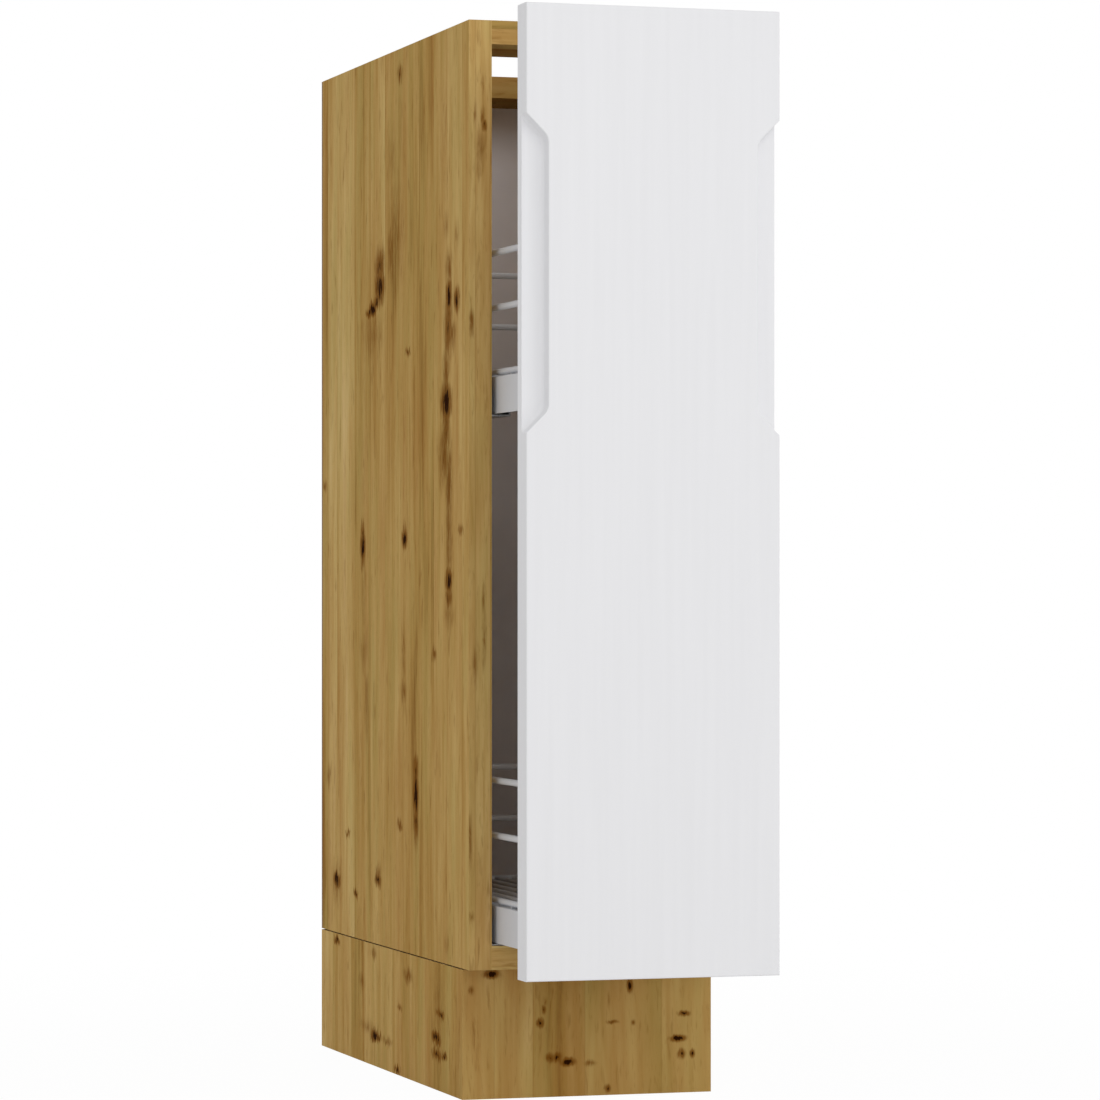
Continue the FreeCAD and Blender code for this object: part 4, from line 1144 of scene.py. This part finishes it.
@dataclass(frozen=True)
class BumperPad(Fitting):
    """Self-adhesive drop that stops the front from knocking: a short wall under a low dome."""

    diameter: float = 9.0
    height: float = 1.7
    wall: float = 0.4
    dome_angles: tuple[int, ...] = (0, 15, 30, 45, 60, 75)

    def model(self) -> Piece:
        """Swell the dome from the wall in steps along a quarter round.

        Returns:
            The pad.
        """
        half = self.height / 2
        rise = self.height - self.wall
        pad = round_bar(self.diameter, -half, self.wall - half)
        pick_top(pad)
        angles = [math.radians(angle) for angle in self.dome_angles]
        for low, high in zip(angles, angles[1:]):
            inward = (math.cos(low) - math.cos(high)) * self.diameter / 2
            bpy.ops.mesh.inset(thickness=inward * MM, depth=(math.sin(high) - math.sin(low)) * rise * MM)
        return pad


@dataclass(frozen=True)
class LegSocket(Fitting):
    """Upper half of a levelling leg: a plate, a fluted column with ribs, and the bore for the foot.

    The height of a rib's outer end is given beside that of its root.
    """

    plate: float = 60.0
    plate_thick: float = 4.0
    plate_corner: float = 9.0
    corner_steps: int = 6
    edge: float = 0.6
    height: float = 80.0
    column: float = 30.0
    column_sides: int = 48
    flute_lip: float = 0.35
    flute_depth: float = 0.6
    bore: float = 16.0
    bore_depth: float = 60.0
    ribs: int = 4
    rib_thick: float = 2.4
    rib_tall: float = 24.0
    rib_root: float = 4.0
    rib_end: float = 0.15

    def model(self) -> Piece:
        """Round the plate, join the column and the ribs to it, and drill the bore.

        Returns:
            The socket.
        """
        top = self.height / 2
        under = top - self.plate_thick
        socket = block((self.plate, self.plate, self.plate_thick), (0.0, 0.0, top - self.plate_thick / 2))
        pick(socket, Element.EDGES, lambda spot, way: abs(way.z) > MOSTLY)
        bpy.ops.mesh.bevel(offset=self.plate_corner * MM, segments=self.corner_steps)
        pick(socket, Element.EDGES, lambda spot, way: spot.z < under + HAIR)
        bpy.ops.mesh.bevel(offset=self.edge * MM, segments=EDGE_STEPS)
        column = round_bar(self.column, -top, top - self.edge, self.column_sides)
        groove(column, self.column_sides, self.flute_lip, self.flute_depth)
        change(socket, column, Change.ADD)
        for number in range(self.ribs):
            change(socket, self.rib(under, number * math.tau / self.ribs), Change.ADD)
        change(socket, round_bar(self.bore, -top - self.edge, self.bore_depth - top), Change.CUT)
        return socket

    def rib(self, under: float, turn: float) -> Piece:
        """Shape one rib between the column and the plate.

        Args:
            under: height of the plate's lower face.
            turn: which way the rib points.

        Returns:
            The rib.
        """
        inner = self.column / 2 - self.rib_root
        outer = self.plate / 2 - self.rib_root
        roof = under + self.edge
        rib = block((outer - inner, self.rib_thick, self.rib_tall),
                    ((inner + outer) / 2, 0.0, roof - self.rib_tall / 2))
        pick(rib, Element.FACES, lambda spot, way: way.x > MOSTLY)
        bpy.ops.transform.resize(value=(1.0, 1.0, self.rib_end), center_override=(outer * MM, 0.0, roof * MM))
        take(rib)
        rib.rotation_euler.z = turn
        fix_place()
        return rib


@dataclass(frozen=True)
class LegFoot(Fitting):
    """Lower half of a levelling leg: a knurled foot with a dished top, and a ringed stem."""

    height: float = 60.0
    foot: float = 48.0
    foot_height: float = 8.0
    sides: int = 48
    knurl_lip: float = 0.5
    knurl_depth: float = 0.9
    rim: float = 3.0
    dish: float = 1.5
    collar: float = 19.0
    thread: float = 15.4
    thread_root: float = 13.8
    pitch: float = 4.0

    def model(self) -> Piece:
        """Knurl the foot, dish its top and draw out the stem in rings.

        Returns:
            The foot.
        """
        base = -self.height / 2
        foot = round_bar(self.foot, base, base + self.foot_height, self.sides)
        groove(foot, self.sides, self.knurl_lip, self.knurl_depth)
        pick_top(foot)
        dish_face(self.rim, self.dish)
        well = self.foot / 2 - self.rim - self.dish
        bpy.ops.mesh.inset(thickness=(well - self.collar / 2) * MM, depth=self.dish * MM)
        bpy.ops.mesh.inset(thickness=(self.collar - self.thread_root) / 2 * MM)
        draw_rings(self.height - self.foot_height, self.pitch, self.thread / self.thread_root)
        return foot


# Sub-assemblies
@dataclass
class Carcass:
    """Chipboard box: two sides, bottom, two top rails, edging and a hardboard back, with its joints.

    The cams look down below half_way, a height in metres, and up above it.
    """

    body: str = "carcass"
    cam: CamLock = CamLock()
    pin: Fastener = Fastener(head=4.5, head_height=0.8, crown=0.25, length=16.0, shank=1.6, tip=2.0)
    half_way: float = 0.45

    def build(self) -> None:
        """Dress the boards and fit their cams and pins."""
        dress(OAK_LEFT, "side_panel_left")
        dress(OAK_RIGHT, "side_panel_right")
        dress(OAK_RAIL, "top_rail_front", "top_rail_rear")
        dress(OAK_BOTTOM, "bottom_panel")
        dress(OAK_EDGING, "edge_bands")
        dress(HARDBOARD, "back_panel")
        dress(ZINC, "cam_bolts")
        dress(BEECH, "wood_dowels")
        self.cam.seat("cam_locks", self.body, ZINC,
                      lambda spot: Facing.UP if spot.z > self.half_way else Facing.DOWN)
        self.pin.seat("back_panel_pins", self.body, ZINC, lambda spot: Facing.REARWARD)


@dataclass
class Plinth:
    """Oak plinth on three sides, clipped to four levelling legs."""

    body: str = "carcass"
    socket: LegSocket = LegSocket()
    foot: LegFoot = LegFoot()
    screw: Fastener = chipboard_screw(17.8)
    clip_edge: float = 0.6

    def build(self) -> None:
        """Dress the plinth boards and fit the clips and legs."""
        dress(OAK_PLINTH_LEFT, "plinth_side_left")
        dress(OAK_PLINTH_RIGHT, "plinth_side_right")
        dress(OAK_PLINTH_FRONT, "plinth_front")
        for node in ("plinth_clips", "plinth_corner_angles"):
            soften(node, self.body, BLACK_PLASTIC, self.clip_edge)
        for corner in CORNERS:
            self.socket.seat(f"leg_socket_{corner}", self.body, BLACK_PLASTIC, lambda spot: Facing.UP)
            self.foot.seat(f"leg_foot_{corner}", f"foot_{corner}", BLACK_PLASTIC, lambda spot: Facing.UP)
        self.screw.seat("leg_screws", self.body, ZINC, lambda spot: Facing.DOWN)


@dataclass
class Runners:
    """Four three-part runners with their rollers and cages."""

    body: str = "carcass"
    screw: Fastener = chipboard_screw(15.0)

    def build(self) -> None:
        """Dress the rails and rollers, and fit the screws."""
        for place in RUNNER_PLACES:
            dress(ZINC, *(f"runner_{rail}_{place}" for rail in ("fixed", "middle", "moving")))
        dress(ZINC, "rollers_fixed", "rollers_moving")
        dress(CAGE_PLASTIC, "roller_cages_fixed", "roller_cages_moving")
        self.screw.seat("runner_screws", self.body, ZINC,
                        lambda spot: Facing.RIGHT if spot.x < 0 else Facing.LEFT)


@dataclass
class PullOut:
    """White front with the two trays and wire baskets that slide with it."""

    body: str = "pullout"
    pad: BumperPad = BumperPad()
    rivet: Fastener = Fastener(head=6.5, head_height=1.0, crown=0.7, length=3.4, shank=4.0, hole=1.7)
    screw: Fastener = Fastener(head=7.5, head_height=2.2, crown=1.2, length=17.4, shank=3.0, thread=4.0,
                               tip=4.0, cross=4.0)
    clip_edge: float = 0.9

    def build(self) -> None:
        """Dress the front, trays and baskets, and fit the clips, screws, rivets and pads."""
        dress(WHITE_FOIL, "front_panel")
        for place in RUNNER_PLACES:
            dress(POWDER_COAT, f"tray_side_{place}")
        for tier in TIERS:
            dress(POWDER_COAT, f"tray_cross_bars_{tier}", f"basket_floor_{tier}", f"basket_guard_{tier}")
        soften("guard_clips", self.body, WHITE_PLASTIC, self.clip_edge)
        self.screw.seat("front_screws", self.body, ZINC, lambda spot: Facing.REARWARD)
        self.rivet.seat("tray_rivets", self.body, ZINC, lambda spot: Facing.UP)
        self.pad.seat("bumper_pads", self.body, CLEAR_SILICONE, lambda spot: Facing.REARWARD)


# Studio
def seen_directly(tree: Tree) -> Socket:
    """Tell rays that show a surface from those that only carry its light.

    Args:
        tree: node tree that takes the nodes.

    Returns:
        1 for a ray from the camera, a mirror or a clear piece, and 0 for any other.
    """
    ray = add_node(tree, "LightPath").outputs
    kinds = ("Is Camera Ray", "Is Glossy Ray", "Is Transmission Ray")
    return highest(tree, [ray[kind] for kind in kinds])


@dataclass(frozen=True)
class Softbox:
    """A square soft lamp: where it hangs, the length of its side, its power and the point that it faces."""

    name: str
    spot: Point
    side: float
    watts: float
    aim: Point = (0.0, 0.0, 0.45)

    def hang(self) -> None:
        """Hang the lamp and turn it to its point."""
        bpy.ops.object.light_add(type="AREA", location=self.spot)
        light = bpy.context.object
        light.name = self.name
        light.data.size = self.side
        light.data.energy = self.watts
        way = Vector(self.aim) - Vector(self.spot)
        light.rotation_euler = way.to_track_quat("-Z", "Y").to_euler()


@dataclass
class Studio:
    """White room with soft light from the right, from high in front and beside the photograph's camera."""

    floor_size: float = 30.0
    floor_white: str = "#F4F4F4"
    floor_clear: Pair = (0.35, 1.3)
    floor_glow: float = 0.97
    sky_white: str = "#FFFFFF"
    sky: float = 0.66
    lamps: tuple[Softbox, ...] = (
        Softbox("key_softbox", (3.8, -4.6, 1.9), 3.0, 42.0),
        Softbox("high_softbox", (0.0, -4.8, 2.8), 2.2, 33.0),
        Softbox("fill_softbox", (-1.37, -4.47, 0.6), 0.5, 9.0),
    )
    camera_spot: Point = (-1.0618, -3.4720, 0.3916)
    camera_turn: float = 17.18
    lens: float = 149.35
    sensor: float = 36.0
    lift: float = 0.0321

    def build(self) -> None:
        """Make the floor, the sky, the lamps and the camera."""
        self.lay_floor()
        self.hang_sky()
        for lamp in self.lamps:
            lamp.hang()
        self.set_camera()
        bpy.context.scene.view_settings.view_transform = "Standard"

    def lay_floor(self) -> None:
        """Lay the pale floor, which reads as white but keeps the shadow."""
        take()
        bpy.ops.mesh.primitive_plane_add(size=self.floor_size)
        floor = bpy.context.object
        floor.name = "studio_floor"
        material = bpy.data.materials.new("pale_studio_floor")
        tree = empty_tree(material)
        matt = add_node(tree, "BsdfDiffuse", {"Color": linear(self.floor_white)}).outputs[0]
        white = add_node(tree, "Emission", {"Strength": 1.0}).outputs[0]
        spot = add_node(tree, "TexCoord").outputs["Object"]
        away = add_node(tree, "VectorMath", {0: spot}, operation="LENGTH").outputs["Value"]
        near, far = self.floor_clear
        glow = add_node(tree, "MapRange", {0: away, 1: near, 2: far, 3: self.floor_glow, 4: 1.0},
                        interpolation_type="SMOOTHSTEP").outputs[0]
        share = add_node(tree, "Math", {0: seen_directly(tree), 1: glow}, operation="MULTIPLY").outputs[0]
        both = add_node(tree, "MixShader", {0: share, 1: matt, 2: white}).outputs[0]
        add_node(tree, "OutputMaterial", {"Surface": both})
        floor.data.materials.append(material)

    def hang_sky(self) -> None:
        """Surround the cabinet with even white, full white to the camera and softer as light."""
        world = bpy.data.worlds.new("white_room")
        bpy.context.scene.world = world
        tree = empty_tree(world)
        soft, white = (
            add_node(tree, "Background", {"Color": linear(self.sky_white), "Strength": strength}).outputs[0]
            for strength in (self.sky, 1.0))
        both = add_node(tree, "MixShader", {0: seen_directly(tree), 1: soft, 2: white}).outputs[0]
        add_node(tree, "OutputWorld", {"Surface": both})

    def set_camera(self) -> None:
        """Stand the camera where the photograph was taken, level, with its frame raised a little."""
        turn = (math.pi / 2, 0.0, math.radians(-self.camera_turn))
        bpy.ops.object.camera_add(location=self.camera_spot, rotation=turn)
        camera = bpy.context.object
        camera.name = "photo_camera"
        camera.data.sensor_width = self.sensor
        camera.data.lens = self.lens
        camera.data.shift_y = self.lift
        bpy.context.scene.camera = camera


def main() -> None:
    """Build every sub-assembly and the studio."""
    logging.basicConfig(level=logging.INFO, format="%(name)s: %(message)s")
    for assembly in (Carcass(), Plinth(), Runners(), PullOut(), Studio()):
        assembly.build()


if __name__ == "__main__":
    main()
